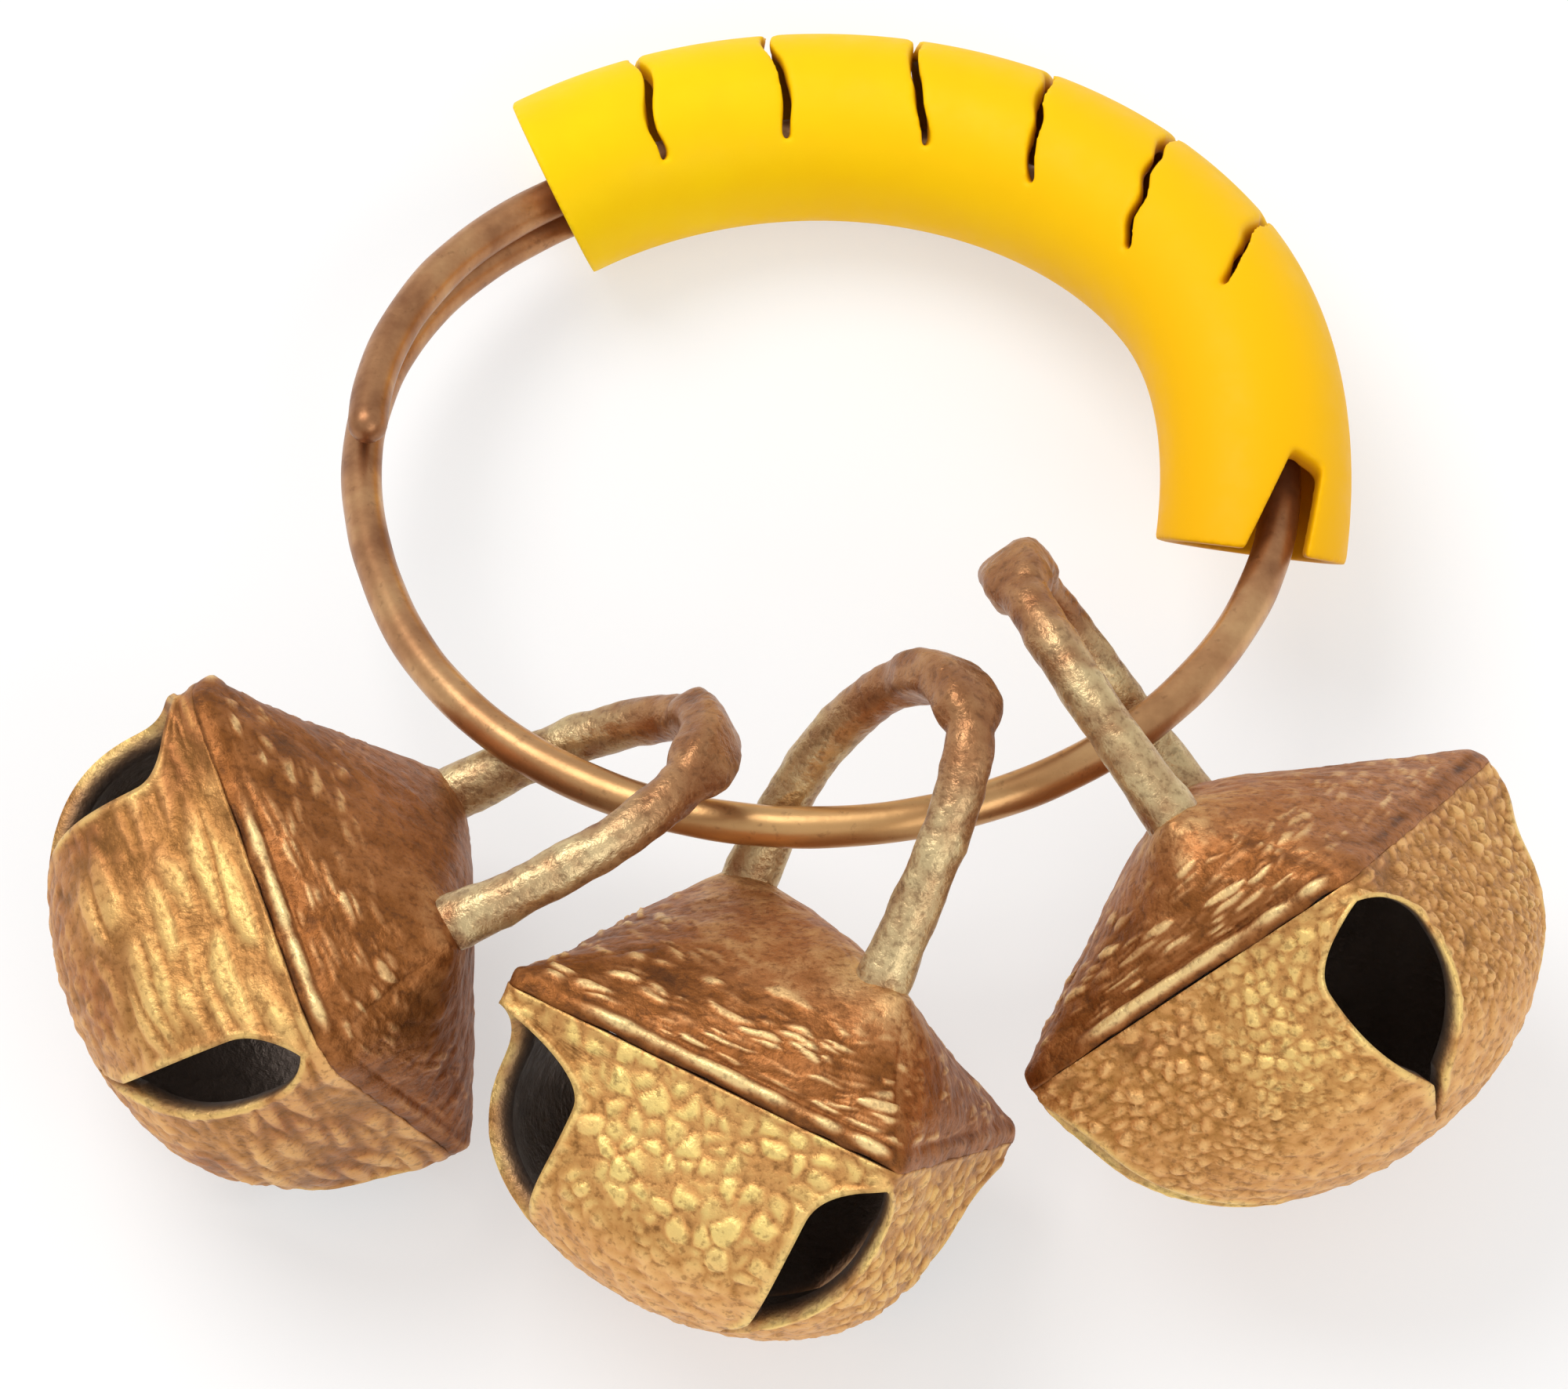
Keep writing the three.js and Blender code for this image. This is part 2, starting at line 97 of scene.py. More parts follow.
SLIT_ROOT_WIDTH = 0.4 * MM
SLIT_DEPTH = 5.4 * MM
SLIT_SHALLOW_DEPTH = 2.4 * MM
SLIT_SHALLOW_WIDTH = 0.4 * MM
SLIT_LEAN = math.radians(45)
SLIT_FOLLOW = 0.35
SLIT_EVEN = math.radians(97)
SLIT_SKEWS = [math.radians(skew) for skew in (0, 3, 5, -4, -6, 0)]
SLIT_WAVER = 0.5 * MM
SLIT_WAVE = 1.8 * MM
SLIT_STEPS = 24
NOTCH_LENGTH = 3.6 * MM
NOTCH_WIDTH = 2.7 * MM
NOTCH_LEAN = math.radians(22)
NOTCH_ROOT_WIDTH = 1.8 * MM
GRIP_BORE_RADIUS = GRIP_RADIUS - GRIP_WALL
GRIP_SLACK = GRIP_BORE_RADIUS - WIRE_RADIUS - CLEARANCE
GRIP_SHIFT = GRIP_PUSH * GRIP_SLACK
GRIP_SPRING = math.hypot(RING_RADIUS, GRIP_STRAIGHT_END) - RING_RADIUS
GRIP_LIFT = math.sqrt(GRIP_SLACK ** 2 - (GRIP_SHIFT + GRIP_SPRING) ** 2)

# Crown of a bell: square in plan with a ridge along one diagonal, rolled over at the shoulder
SHOULDER_HALF_DIAGONAL = 15.3 * MM
SHOULDER_ROUND = 1.2 * MM
CROWN_HEIGHT = 7.5 * MM
CROWN_WALL = 1.6 * MM
CROWN_CONCAVITY = 0.22
RIDGE_HALF_WIDTH = 1.9 * MM
RIDGE_HALF_LENGTH = 9.4 * MM
RIDGE_ROUND = 0.5 * MM
ROLL_ANGLE = math.radians(60)
ROLL_ROWS = 8
SLOPE_ROWS = 62
RIDGE_ROWS = 6
SIDE_COLUMNS = 92
STREAK_LENGTH = 2.2 * MM
STREAK_WIDTH = 0.8 * MM
STREAK_HEIGHT = 0.22 * MM
STREAK_SWAY = 0.7 * MM
STREAK_SWAY_SIZE = 4 * MM
STREAK_WAVER = 0.3
STREAK_WAVER_SIZE = 1.3 * MM
BEAD_HEIGHT = 0.4 * MM
BEAD_RUN_IN = 0.24
CROWN_LUMP = 0.1
CROWN_LUMP_SIZE = 2.4 * MM
CROWN_GRAIN = 0.07
CROWN_GRAIN_SIZE = 0.9 * MM
FOOT_RUB_REACH = 2.4 * MM

# Bowl of a bell: square at the shoulder and round below, with a leaf-shaped mouth under each corner
BOWL_HALF_DIAGONAL = 14.7 * MM
BOWL_DEPTH = 13.2 * MM
BOWL_WALL = 1.1 * MM
BOWL_ROUND_LATITUDE = math.radians(72)
BRIM_ROWS = 5
BOWL_ROWS = 78
POLE_ROWS = 8
PETAL_COLUMNS = 84
INSIDE_STRIDE = 4
PEBBLE_HEIGHT = 0.3 * MM
PEBBLE_LEVEL = 0.6
PEBBLE_WAVER = 0.4
PEBBLE_WAVER_SIZE = 1.2 * MM
PEBBLE_SWAY = 0.5
PEBBLE_SWAY_SIZE = 5 * MM
BOWL_GRAIN_SIZE = 0.7 * MM
STAIN_PATCH_SIZE = 4 * MM
SHOULDER_STAIN = 0.75
SHOULDER_STAIN_SIZE = 2.5 * MM
LIP_HEIGHT = 0.16 * MM
LIP_WIDTH = 0.36 * MM
LIP_WEAR_SIZE = 1.5 * MM
MOUTH_TOP_DEPTH = 0.9 * MM
MOUTH_WIDEST_DEPTH = 4 * MM
MOUTH_SLOT_WIDTH = 0.9 * MM
MOUTH_SLOT_DEPTH = 10.6 * MM
MOUTH_END_DEPTH = 12.4 * MM

# Loop: a cast rod arched over the ridge of the crown, broad and flat at its top and spread at its feet
LOOP_ROD_RADIUS = 1.35 * MM
LOOP_LEG_RADIUS = 1.2 * MM
LOOP_HEIGHT = 13.3 * MM
LOOP_HALF_WIDTH = 7.5 * MM
LOOP_OFFSET = -0.5 * MM
LOOP_FULLNESS = 0.8
LOOP_FOOT_DEPTH = 1.6 * MM
LOOP_FOOT_SPREAD = 0.2 * MM
LOOP_FOOT_REACH = 1.8 * MM
LOOP_TOP_SPREAD = 0.5 * MM
LOOP_ROUND = 2
LOOP_SQUARED = 3.5
LOOP_LUMP = 0.1
LOOP_LUMP_SIZE = 1.8 * MM
LOOP_GRAIN = 0.08
LOOP_GRAIN_SIZE = 0.7 * MM
LOOP_SIDES = 28
LOOP_STEPS = 110

# Pellet: a loose ball with a mould seam; its dents, grain, seam and the drop that keeps it inside are in millimetres
PELLET_RADIUS = 3.5 * MM
PELLET_DENT = 0.1
PELLET_DENT_SIZE = 1.6 * MM
PELLET_GRAIN = 0.04
PELLET_GRAIN_SIZE = 0.6 * MM
PELLET_SEAM = 0.12
PELLET_SEAM_WIDTH = 0.25 * MM
PELLET_DROP = 0.08
PELLET_FINENESS = 5

# Where each bell hangs, in degrees and millimetres, as in the frame
HANGS = {
    "left_bell": dict(ring=227.6, seat=3.4, swing=26.6, yaw=-32.6, roll=-50.1, play=0),
    "middle_bell": dict(ring=264.3, seat=2.8, swing=49.1, yaw=-20.8, roll=-34.2, play=0),
    "right_bell": dict(ring=317.9, seat=3.7, swing=35.6, yaw=-3.8, roll=11.9, play=0.6),
}

# How each casting came out: widths of its mouths in turn, radius of its corners, lean of its loop, skew of its
# ridge, strength of its streaks, strength of the bead along each side, with painted shadow under it, or of a groove
# if below 0, where along the side it begins, length and width of its pebbles, how stained its bowl is, how golden
# each petal is made, a painted highlight on its upper part, and where along the petal that begins
CASTINGS = {
    "left_bell": dict(mouths=(6.6, 3.8, 4, 4), corner=3.2, lean=0, skew=0, streaks=0.6,
                      beads=(1, 0.3, 0.5, 0.5), bead_from=0.28, pebble=(7, 1.15), stain=1,
                      gilt=(0.65, 0.15, 0.5, 0.5), gold_from=0.15),
    "middle_bell": dict(mouths=(8, 4.4, 4.8, 5), corner=1.0, lean=2.6, skew=0, streaks=1,
                        beads=(1, 0.2, 0.6, 0.6), bead_from=0.1, pebble=(1.5, 1.2), stain=0,
                        gilt=(1, 0.35, 0.6, 0.6), gold_from=-0.1),
    "right_bell": dict(mouths=(1.6, 6.2, 4, 5), corner=2.4, lean=0, skew=-22.5, streaks=0.9,
                       beads=(0.9, -0.7, 0.5, 0.5), bead_from=0.1, pebble=(1.0, 0.75), stain=0.1,
                       gilt=(0.7, 0.15, 0.5, 0.5), gold_from=0.45),
}

# Camera of the photograph and the studio
CAMERA_ELEVATION = math.radians(63.76)
CAMERA_DISTANCE = 0.6
CAMERA_TARGET = Vector((-0.604, -3.255, 12.169)) * MM
CAMERA_LENS = 278.6
CAMERA_SENSOR = 36
CAMERA_FAR = 10
FLOOR_SIZE = 3
FLOOR_WHITENESS = 0.5
WORLD_LIGHT = 0.7
LAMP_SIZE = 0.6
LAMPS = {"key": ((-0.35, 0.3, 0.8), 4), "fill": ((0.4, -0.6, 0.6), 1.6)}


def clamp(value, low=0.0, high=1.0):
    return min(max(value, low), high)


def smoothstep(value, low, high):
    t = clamp((value - low) / (high - low))
    return t * t * (3 - 2 * t)


def lerp(a, b, t):
    return a + (b - a) * t


def rough(point, size, seed=0):
    """Smooth noise from -1 to 1 with lumps of that size."""
    return noise.noise(point / size + Vector((seed * 17.3, seed * 5.9, seed * 11.1)))


def pebbles(u, v, seed):
    """How far inside its pebble a point lies, from 0 on the joints to 1, and a chance value of that pebble."""
    distances, middles = noise.voronoi(Vector((u, v, seed * 7.7)))
    return smoothstep(distances[1] - distances[0], 0.02, 0.5), 0.5 + 0.7 * noise.noise(middles[0] * 5.3)


# Meshes

class Builder:
    """A mesh under construction. Each vertex can carry a lift along its normal and values for its material."""

    LAYERS = ("lift", "relief", "inside", "gilt", "stain")

    def __init__(self):
        self.mesh = bmesh.new()
        self.layers = {name: self.mesh.verts.layers.float.new(name) for name in self.LAYERS}

    def vertex(self, point, **values):
        vertex = self.mesh.verts.new(point)
        for name, value in values.items():
            vertex[self.layers[name]] = value
        return vertex

    def face(self, *vertices):
        self.mesh.faces.new(vertices)

    def strip(self, first, second, closed=False):
        count = len(first)
        for i in range(count if closed else count - 1):
            j = (i + 1) % count
            self.face(first[i], first[j], second[j], second[i])

    def loft(self, rings, closed=True):
        for first, second in zip(rings, rings[1:]):
            self.strip(first, second, closed)

    def fan(self, ring, middle):
        for i, vertex in enumerate(ring):
            self.face(vertex, ring[(i + 1) % len(ring)], middle)

    def finish(self, name, place, material):
        """Welds, lifts each vertex along its normal and makes the object at that place."""
        bm = self.mesh
        bmesh.ops.remove_doubles(bm, verts=bm.verts, dist=1e-7)
        bmesh.ops.recalc_face_normals(bm, faces=bm.faces)
        bm.normal_update()
        lift = self.layers["lift"]
        moves = [(v, v.normal * v[lift]) for v in bm.verts]
        for v, move in moves:
            v.co += move
        for f in bm.faces:
            f.smooth = True
        mesh = bpy.data.meshes.new(name)
        bm.to_mesh(mesh)
        bm.free()
        return add_object(name, mesh, place, material)


def add_object(name, mesh, place, material):
    """A piece whose place is in its vertices, as with the CAD nodes."""
    mesh.transform(place)
    obj = bpy.data.objects.new(name, mesh)
    bpy.context.scene.collection.objects.link(obj)
    if material:
        mesh.materials.append(material)
    return obj


def hand_over(obj, node, body):
    """The piece stands for a CAD node and moves with its body."""
    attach(obj, body)
    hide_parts(node)


def ring_of(builder, centre, across, up, count, radius):
    ring = []
    for i in range(count):
        angle = 2 * math.pi * i / count
        ring.append(builder.vertex(centre + (across * math.cos(angle) + up * math.sin(angle)) * radius))
    return ring


# Frames of the ring and of the bells

def joint(name):
    return next(j for j in frame["joints"] if j["name"] == name)


def ring_frame():
    turn = Matrix.Rotation(-RING_LEAN, 4, "Y") @ Matrix.Rotation(-RING_TILT, 4, "X")
    return Matrix.Translation(joint("grip_slide_round")["pos_m"]) @ turn


def arch_point(t, lean):
    turn = math.pi * clamp(t)
    height = abs(math.sin(turn)) ** LOOP_FULLNESS
    y = LOOP_OFFSET - LOOP_HALF_WIDTH * math.cos(turn) + lean * height ** 2
    return Vector((0, y, CROWN_HEIGHT + CLEARANCE + LOOP_HEIGHT * height))


def wire_seat(hang, casting, turn):
    """Point of the bell on the wire's middle line, beside the lower leg of its loop."""
    along = math.asin((hang["seat"] * MM / LOOP_HEIGHT) ** (1 / LOOP_FULLNESS)) / math.pi
    lean = casting["lean"] * MM
    skew = Matrix.Rotation(math.radians(casting["skew"]), 3, "Z")
    leg = skew @ arch_point(along, lean)
    direction = skew @ (arch_point(along + 1e-4, lean) - arch_point(along - 1e-4, lean))
    aside = direction.cross(turn.to_3x3().inverted() @ Vector((0, 1, 0))).normalized()
    if aside.dot(Vector((leg.x, leg.y, 0))) > 0:
        aside.negate()
    return leg + aside * (LOOP_ROD_RADIUS + WIRE_RADIUS + CLEARANCE + hang["play"] * MM)


def bell_frame(name):
    hang = HANGS[name]
    hanging = Matrix(((0, 0, -1), (-1, 0, 0), (0, 1, 0))).to_4x4()
    swing = Matrix.Rotation(math.radians(hang["swing"]), 4, "Y")
    yaw = Matrix.Rotation(math.radians(hang["yaw"]), 4, "Z")
    roll = Matrix.Rotation(math.radians(hang["roll"]), 4, "X")
    turn = swing @ yaw @ roll @ hanging
    spot = ring_frame() @ Matrix.Rotation(math.radians(hang["ring"]), 4, "Z")
    spot = spot @ Matrix.Translation((RING_RADIUS, 0, 0))
    return spot @ turn @ Matrix.Translation(-wire_seat(hang, CASTINGS[name], turn))


# Bells

def plan_reach(angle, roundness, corner):
    """Square with rounded corners on the axes at roundness 0, round at 1; corner is the radius of its corners."""
    exponent = 1 + roundness
    total = abs(math.cos(angle)) ** exponent + abs(math.sin(angle)) ** exponent
    reach = total ** (-1 / exponent)
    off = abs((angle + math.pi / 4) % (math.pi / 2) - math.pi / 4)
    if off < math.atan2(corner, math.sqrt(2) - corner):
        middle = 1 - corner * math.sqrt(2)
        rounded = middle * math.cos(off) + math.sqrt(corner ** 2 - (middle * math.sin(off)) ** 2)
        reach *= lerp(rounded * (math.cos(off) + math.sin(off)), 1, roundness)
    return reach


def corner_share(name):
    return CASTINGS[name]["corner"] * MM / SHOULDER_HALF_DIAGONAL


def crown_point(name, radius, height, rise, angle, inset):
    skew = math.radians(CASTINGS[name]["skew"])
    ridge = max(RIDGE_HALF_WIDTH - inset, CLEARANCE)
    stretch = RIDGE_HALF_LENGTH - inset - ridge
    along = stretch * rise * min(1, radius / ridge) * math.sin(angle - skew)
    plan = radius * plan_reach(angle, rise, corner_share(name))
    x = plan * math.cos(angle) - along * math.sin(skew)
    y = plan * math.sin(angle) + along * math.cos(skew)
    return Vector((x, y, height))


def crown_rows(inset):
    """Radius, height and rise of each row, from the seam over the shoulder and up to the middle of the ridge."""
    rim = SHOULDER_HALF_DIAGONAL - inset * math.sqrt(2)
    top = CROWN_HEIGHT - inset
    ridge = max(RIDGE_HALF_WIDTH - inset, CLEARANCE)
    rows = []
    for i in range(ROLL_ROWS + 1):
        angle = ROLL_ANGLE * i / ROLL_ROWS
        rows.append((rim - SHOULDER_ROUND * (1 - math.cos(angle)), SHOULDER_ROUND * math.sin(angle), 0))
    rim, foot, _ = rows[-1]
    for i in range(1, SLOPE_ROWS + 1):
        rise = i / SLOPE_ROWS
        drawn = rise + CROWN_CONCAVITY * rise * (1 - rise)
        height = foot + (top - foot) * rise - RIDGE_ROUND * rise ** 6
        rows.append((rim - (rim - ridge) * drawn, height, rise))
    for i in range(1, RIDGE_ROWS):
        out = 1 - i / RIDGE_ROWS
        rows.append((ridge * out, top - RIDGE_ROUND * out ** 2, 1))
    return rows, top


def crown_streaks(side, rise, point, seed):
    """Height of the short streaks laid along the slopes, from 0 to 1."""
    slope = SHOULDER_HALF_DIAGONAL - RIDGE_HALF_WIDTH
    u = side * SHOULDER_HALF_DIAGONAL * math.sqrt(2) * (1 - 0.5 * rise) / STREAK_LENGTH
    v = (rise * slope + STREAK_SWAY * rough(point, STREAK_SWAY_SIZE, seed)) / STREAK_WIDTH
    u += STREAK_WAVER * rough(point, STREAK_WAVER_SIZE, seed + 6)
    v += STREAK_WAVER * rough(point, STREAK_WAVER_SIZE, seed + 7)
    streak, chance = pebbles(u, v, seed)
    return streak * smoothstep(chance, 0.25, 0.75)


def bead_strength(name, side, seed):
    """The raised edge along the shoulder, knobby and worn away towards one corner of its side."""
    s = side % 1
    knobs = clamp(0.8 + 0.8 * noise.noise(Vector((side * 14, seed, 0.5))))
    start = CASTINGS[name]["bead_from"]
    fade = smoothstep(s, start, start + BEAD_RUN_IN) * (1 - smoothstep(s, 0.92, 1))
    return CASTINGS[name]["beads"][int(side)] * knobs * fade


def bell_crown(name, seed, place, material):
    casting = CASTINGS[name]
    builder = Builder()
    columns = [i / SIDE_COLUMNS for i in range(4 * SIDE_COLUMNS)]
    angles = [math.atan2(side % 1, 1 - side % 1) + int(side) * math.pi / 2 for side in columns]
    feet = [Matrix.Rotation(math.radians(casting["skew"]), 3, "Z") @ arch_point(t, 0) for t in (0, 1)]
    rings = []
    rows, top = crown_rows(0)
    for row, (radius, height, rise) in enumerate(rows):
        bead = math.exp(-(((row - 0.6 * ROLL_ROWS) / 2) ** 2))
        ring = []
        for side, angle in zip(columns, angles):
            point = crown_point(name, radius, height, rise, angle, 0)
            strength = bead_strength(name, side, seed)
            lower = casting["streaks"] * lerp(0.35, 0.9, clamp(casting["beads"][int(side)]))
            lower *= 1 - smoothstep(rise, 0.4, 0.75)
            streaks = crown_streaks(side, rise, point, seed) * smoothstep(rise, 0, 0.05)
            edge = bead * max(strength, 0)
            # Painted shadow: under a raised bead the surface is darkened and sunk a little; where the bead is below
            # 0 this is a real groove.
            groove_and_painted_shade = max(math.exp(-((row / 1.5) ** 2)) * strength, -bead * strength)
            lumps = CROWN_LUMP * rough(point, CROWN_LUMP_SIZE, seed)
            lumps += CROWN_GRAIN * rough(point, CROWN_GRAIN_SIZE, seed + 1)
            lift = streaks * lower * STREAK_HEIGHT + (edge - 0.4 * groove_and_painted_shade) * BEAD_HEIGHT + lumps * MM
            level = 0.4 - 0.25 * casting["stain"]
            relief = max(lerp(level, 0.05 + 0.95 * streaks, lower), 1.1 * edge) - 0.5 * groove_and_painted_shade + lumps
            foot = max(math.exp(-(((point - f).length / FOOT_RUB_REACH) ** 2)) for f in feet)
            # The bead, the crown round the feet of the loop and the raised streaks are made golden: rubbed brass,
            # and in part a painted highlight.
            gilt = clamp(max(1.3 * edge, 0.8 * foot, 0.6 * streaks * lower))
            ring.append(builder.vertex(point, lift=lift, relief=relief, gilt=gilt))
        rings.append(ring)
    builder.loft(rings)
    builder.fan(rings[-1], builder.vertex((0, 0, top), relief=0.3))
    under = []
    rows, top = crown_rows(CROWN_WALL)
    for radius, height, rise in rows[:1] + rows[ROLL_ROWS::SLOPE_ROWS // 4]:
        points = [crown_point(name, radius, height, rise, angle, CROWN_WALL) for angle in angles]
        under.append([builder.vertex(point, inside=1) for point in points])
    builder.loft([rings[0]] + under)
    builder.fan(under[-1], builder.vertex((0, 0, top), inside=1))
    hand_over(builder.finish(f"{name}_cast_crown", place, material), f"{name}_crown", name)


def mouth_half_width(depth, width):
    """Half width of the leaf-shaped mouth at a depth under the shoulder: round at its top, drawn out to a slot."""
    belly, slot = width / 2, min(width, MOUTH_SLOT_WIDTH) / 2
    if depth <= MOUTH_TOP_DEPTH:
        return 0.0
    if depth < MOUTH_WIDEST_DEPTH:
        t = (depth - MOUTH_TOP_DEPTH) / (MOUTH_WIDEST_DEPTH - MOUTH_TOP_DEPTH)
        return belly * math.sin(math.pi / 2 * t ** 0.75)
    if depth < MOUTH_SLOT_DEPTH:
        t = (depth - MOUTH_WIDEST_DEPTH) / (MOUTH_SLOT_DEPTH - MOUTH_WIDEST_DEPTH)
        return lerp(belly, slot, t ** 2.5)
    t = clamp((depth - MOUTH_SLOT_DEPTH) / (MOUTH_END_DEPTH - MOUTH_SLOT_DEPTH))
    return slot * math.sqrt(1 - t)


def bowl_point(name, latitude, angle, inset):
    roundness = smoothstep(latitude, 0, BOWL_ROUND_LATITUDE)
    reach = lerp(SHOULDER_HALF_DIAGONAL, BOWL_HALF_DIAGONAL, smoothstep(latitude, 0, 0.35)) - inset
    plan = reach * math.cos(latitude) * plan_reach(angle, roundness, corner_share(name))
    depth = (BOWL_DEPTH - inset) * math.sin(latitude)
    return Vector((plan * math.cos(angle), plan * math.sin(angle), -depth))


def mouth_edge(name, latitude, width, inset):
    """Angle from the corner at which the bowl is that far from the corner's middle plane."""
    low, high = 0.0, math.pi / 4
    for _ in range(30):
        middle = (low + high) / 2
        if bowl_point(name, latitude, middle, inset).y < width:
            low = middle
        else:
            high = middle
    return low if width > 0 else 0.0


def bowl_latitudes():
    """Latitudes of the rows: the whole brim, then the rows that the mouths cut, then the pole."""
    top, end = (math.asin(depth / BOWL_DEPTH) for depth in (MOUTH_TOP_DEPTH, MOUTH_END_DEPTH))
    brim = [top * i / BRIM_ROWS for i in range(BRIM_ROWS)]
    mouth = [lerp(top, end, (i / BOWL_ROWS) ** 1.25) for i in range(BOWL_ROWS + 1)]
    pole = [lerp(end, math.pi / 2, i / (POLE_ROWS + 1)) for i in range(1, POLE_ROWS + 1)]
    return brim + mouth + pole


def petal_angle(first, last, s, latitude):
    """Angle of a column between two mouths: even along the sides of the square, even round the pole."""
    start, stop = (math.tan(edge) / (1 + math.tan(edge)) for edge in (first, last))
    along = lerp(start, 1 - stop, s)
    return lerp(math.atan2(along, 1 - along), lerp(first, math.pi / 2 - last, s), clamp(latitude))


def bowl_skin(name, point, latitude, angle, seed):
    """Height of the casting skin, from 0 to 1: pebbles or strands above, finer grain below."""
    length, width = CASTINGS[name]["pebble"]
    waver = PEBBLE_WAVER * width / length
    u = angle * BOWL_HALF_DIAGONAL / (length * MM) + waver * rough(point, PEBBLE_WAVER_SIZE, seed + 5)
    v = latitude * BOWL_DEPTH / (width * MM) + waver * rough(point, PEBBLE_WAVER_SIZE, seed + 6)
    v += PEBBLE_SWAY * rough(point, PEBBLE_SWAY_SIZE, seed + 7)
    pebble, chance = pebbles(u, v, seed)
    fine = 0.5 + 0.6 * rough(point, BOWL_GRAIN_SIZE, seed + 3)
    upper = 1 - smoothstep(latitude, 0.6, 0.95)
    return clamp(lerp(fine, 0.2 * fine + pebble * lerp(0.3, 1, chance), 0.1 + 0.9 * upper))


def shoulder_highlight(casting, petal, share, latitude):
    """Painted highlight: how golden the upper bowl is made at a share of the way along one of its petals."""
    start = casting["gold_from"]
    along = smoothstep(share, start, start + 0.3) * (1 - smoothstep(share, 0.85, 1.1))
    return casting["gilt"][petal] * along * (1 - smoothstep(latitude, 0.45, 0.85))


def bowl_stain(casting, point, latitude, seed):
    """Patches of the crown's patina, over the whole bowl and more of it under the shoulder."""
    patches = clamp(0.6 + rough(point, STAIN_PATCH_SIZE, seed + 9))
    shoulder = smoothstep(rough(point, SHOULDER_STAIN_SIZE, seed + 10), -0.15, 0.25)
    shoulder *= 1 - smoothstep(latitude, 0.02, 0.25)
    return max(casting["stain"] * patches, SHOULDER_STAIN * shoulder)


def bell_bowl(name, seed, place, material):
    casting = CASTINGS[name]
    builder = Builder()
    latitudes = bowl_latitudes()
    apexes = [bowl_point(name, latitudes[BRIM_ROWS], corner * math.pi / 2, 0) for corner in range(4)]
    for petal in range(4):
        start = petal * math.pi / 2
        corners = (petal, (petal + 1) % 4)
        outer, inner = [], []
        for latitude in latitudes:
            depth = BOWL_DEPTH * math.sin(latitude)
            widths = [mouth_half_width(depth, casting["mouths"][corner] * MM) for corner in corners]
            first, last = (mouth_edge(name, latitude, width, 0) for width in widths)
            ends = [bowl_point(name, latitude, start + angle, 0) for angle in (first, math.pi / 2 - last)]
            row = []
            for column in range(PETAL_COLUMNS + 1):
                angle = start + petal_angle(first, last, column / PETAL_COLUMNS, latitude)
                point = bowl_point(name, latitude, angle, 0)
                skin = bowl_skin(name, point, latitude, angle, seed)
                edges = [end for end, width in zip(ends, widths) if width > 0]
                away = min((point - edge).length for edge in edges or [apexes[corner] for corner in corners])
                lip = math.exp(-((away / LIP_WIDTH) ** 2)) * smoothstep(depth, 0, MOUTH_TOP_DEPTH)
                lip *= 1 - smoothstep(depth, MOUTH_SLOT_DEPTH, MOUTH_END_DEPTH)
                lift = PEBBLE_HEIGHT * (skin - PEBBLE_LEVEL) * (1 - lip) + LIP_HEIGHT * lip
                lift *= smoothstep(latitude, 0, 0.05)
                # The lips of the mouths are made bright: rubbed brass and a painted highlight.
                wear_and_highlight = lip * clamp(0.75 + rough(point, LIP_WEAR_SIZE, seed + 8))
                # Painted highlight: the upper part of some petals is made golden.
                gold = shoulder_highlight(casting, petal, column / PETAL_COLUMNS, latitude)
                gilt = max(gold, 0.8 * wear_and_highlight)
                stain = bowl_stain(casting, point, latitude, seed) * (1 - 0.8 * gilt)
                row.append(builder.vertex(point, lift=lift, relief=max(skin, wear_and_highlight), gilt=gilt, stain=stain))
            outer.append(row)
            first, last = (mouth_edge(name, latitude, width, BOWL_WALL) for width in widths)
            shares = [column / PETAL_COLUMNS for column in range(0, PETAL_COLUMNS + 1, INSIDE_STRIDE)]
            angles = [start + petal_angle(first, last, share, latitude) for share in shares]
            points = [bowl_point(name, latitude, angle, BOWL_WALL) for angle in angles]
            inner.append([builder.vertex(point, inside=1) for point in points])
        builder.loft(outer, closed=False)
        builder.loft(inner, closed=False)
        for i, (near, far) in enumerate(zip(inner[0], inner[0][1:])):
            edge = outer[0][i * INSIDE_STRIDE:(i + 1) * INSIDE_STRIDE + 1]
            builder.face(*edge, far, near)
        cut = slice(BRIM_ROWS, BRIM_ROWS + BOWL_ROWS + 1)
        for end in (0, -1):
            builder.strip([row[end] for row in outer[cut]], [row[end] for row in inner[cut]])
        for sheet, inset in ((outer, 0), (inner, BOWL_WALL)):
            pole = builder.vertex((0, 0, inset - BOWL_DEPTH), inside=float(inset > 0))
            for first, second in zip(sheet[-1], sheet[-1][1:]):
                builder.face(first, second, pole)
    hand_over(builder.finish(f"{name}_cast_bowl", place, material), f"{name}_bowl", name)


def squared(value, exponent):
    """Cosine or sine of a section that is round at exponent 2 and squarer above it."""
    return math.copysign(abs(value) ** (2 / exponent), value)


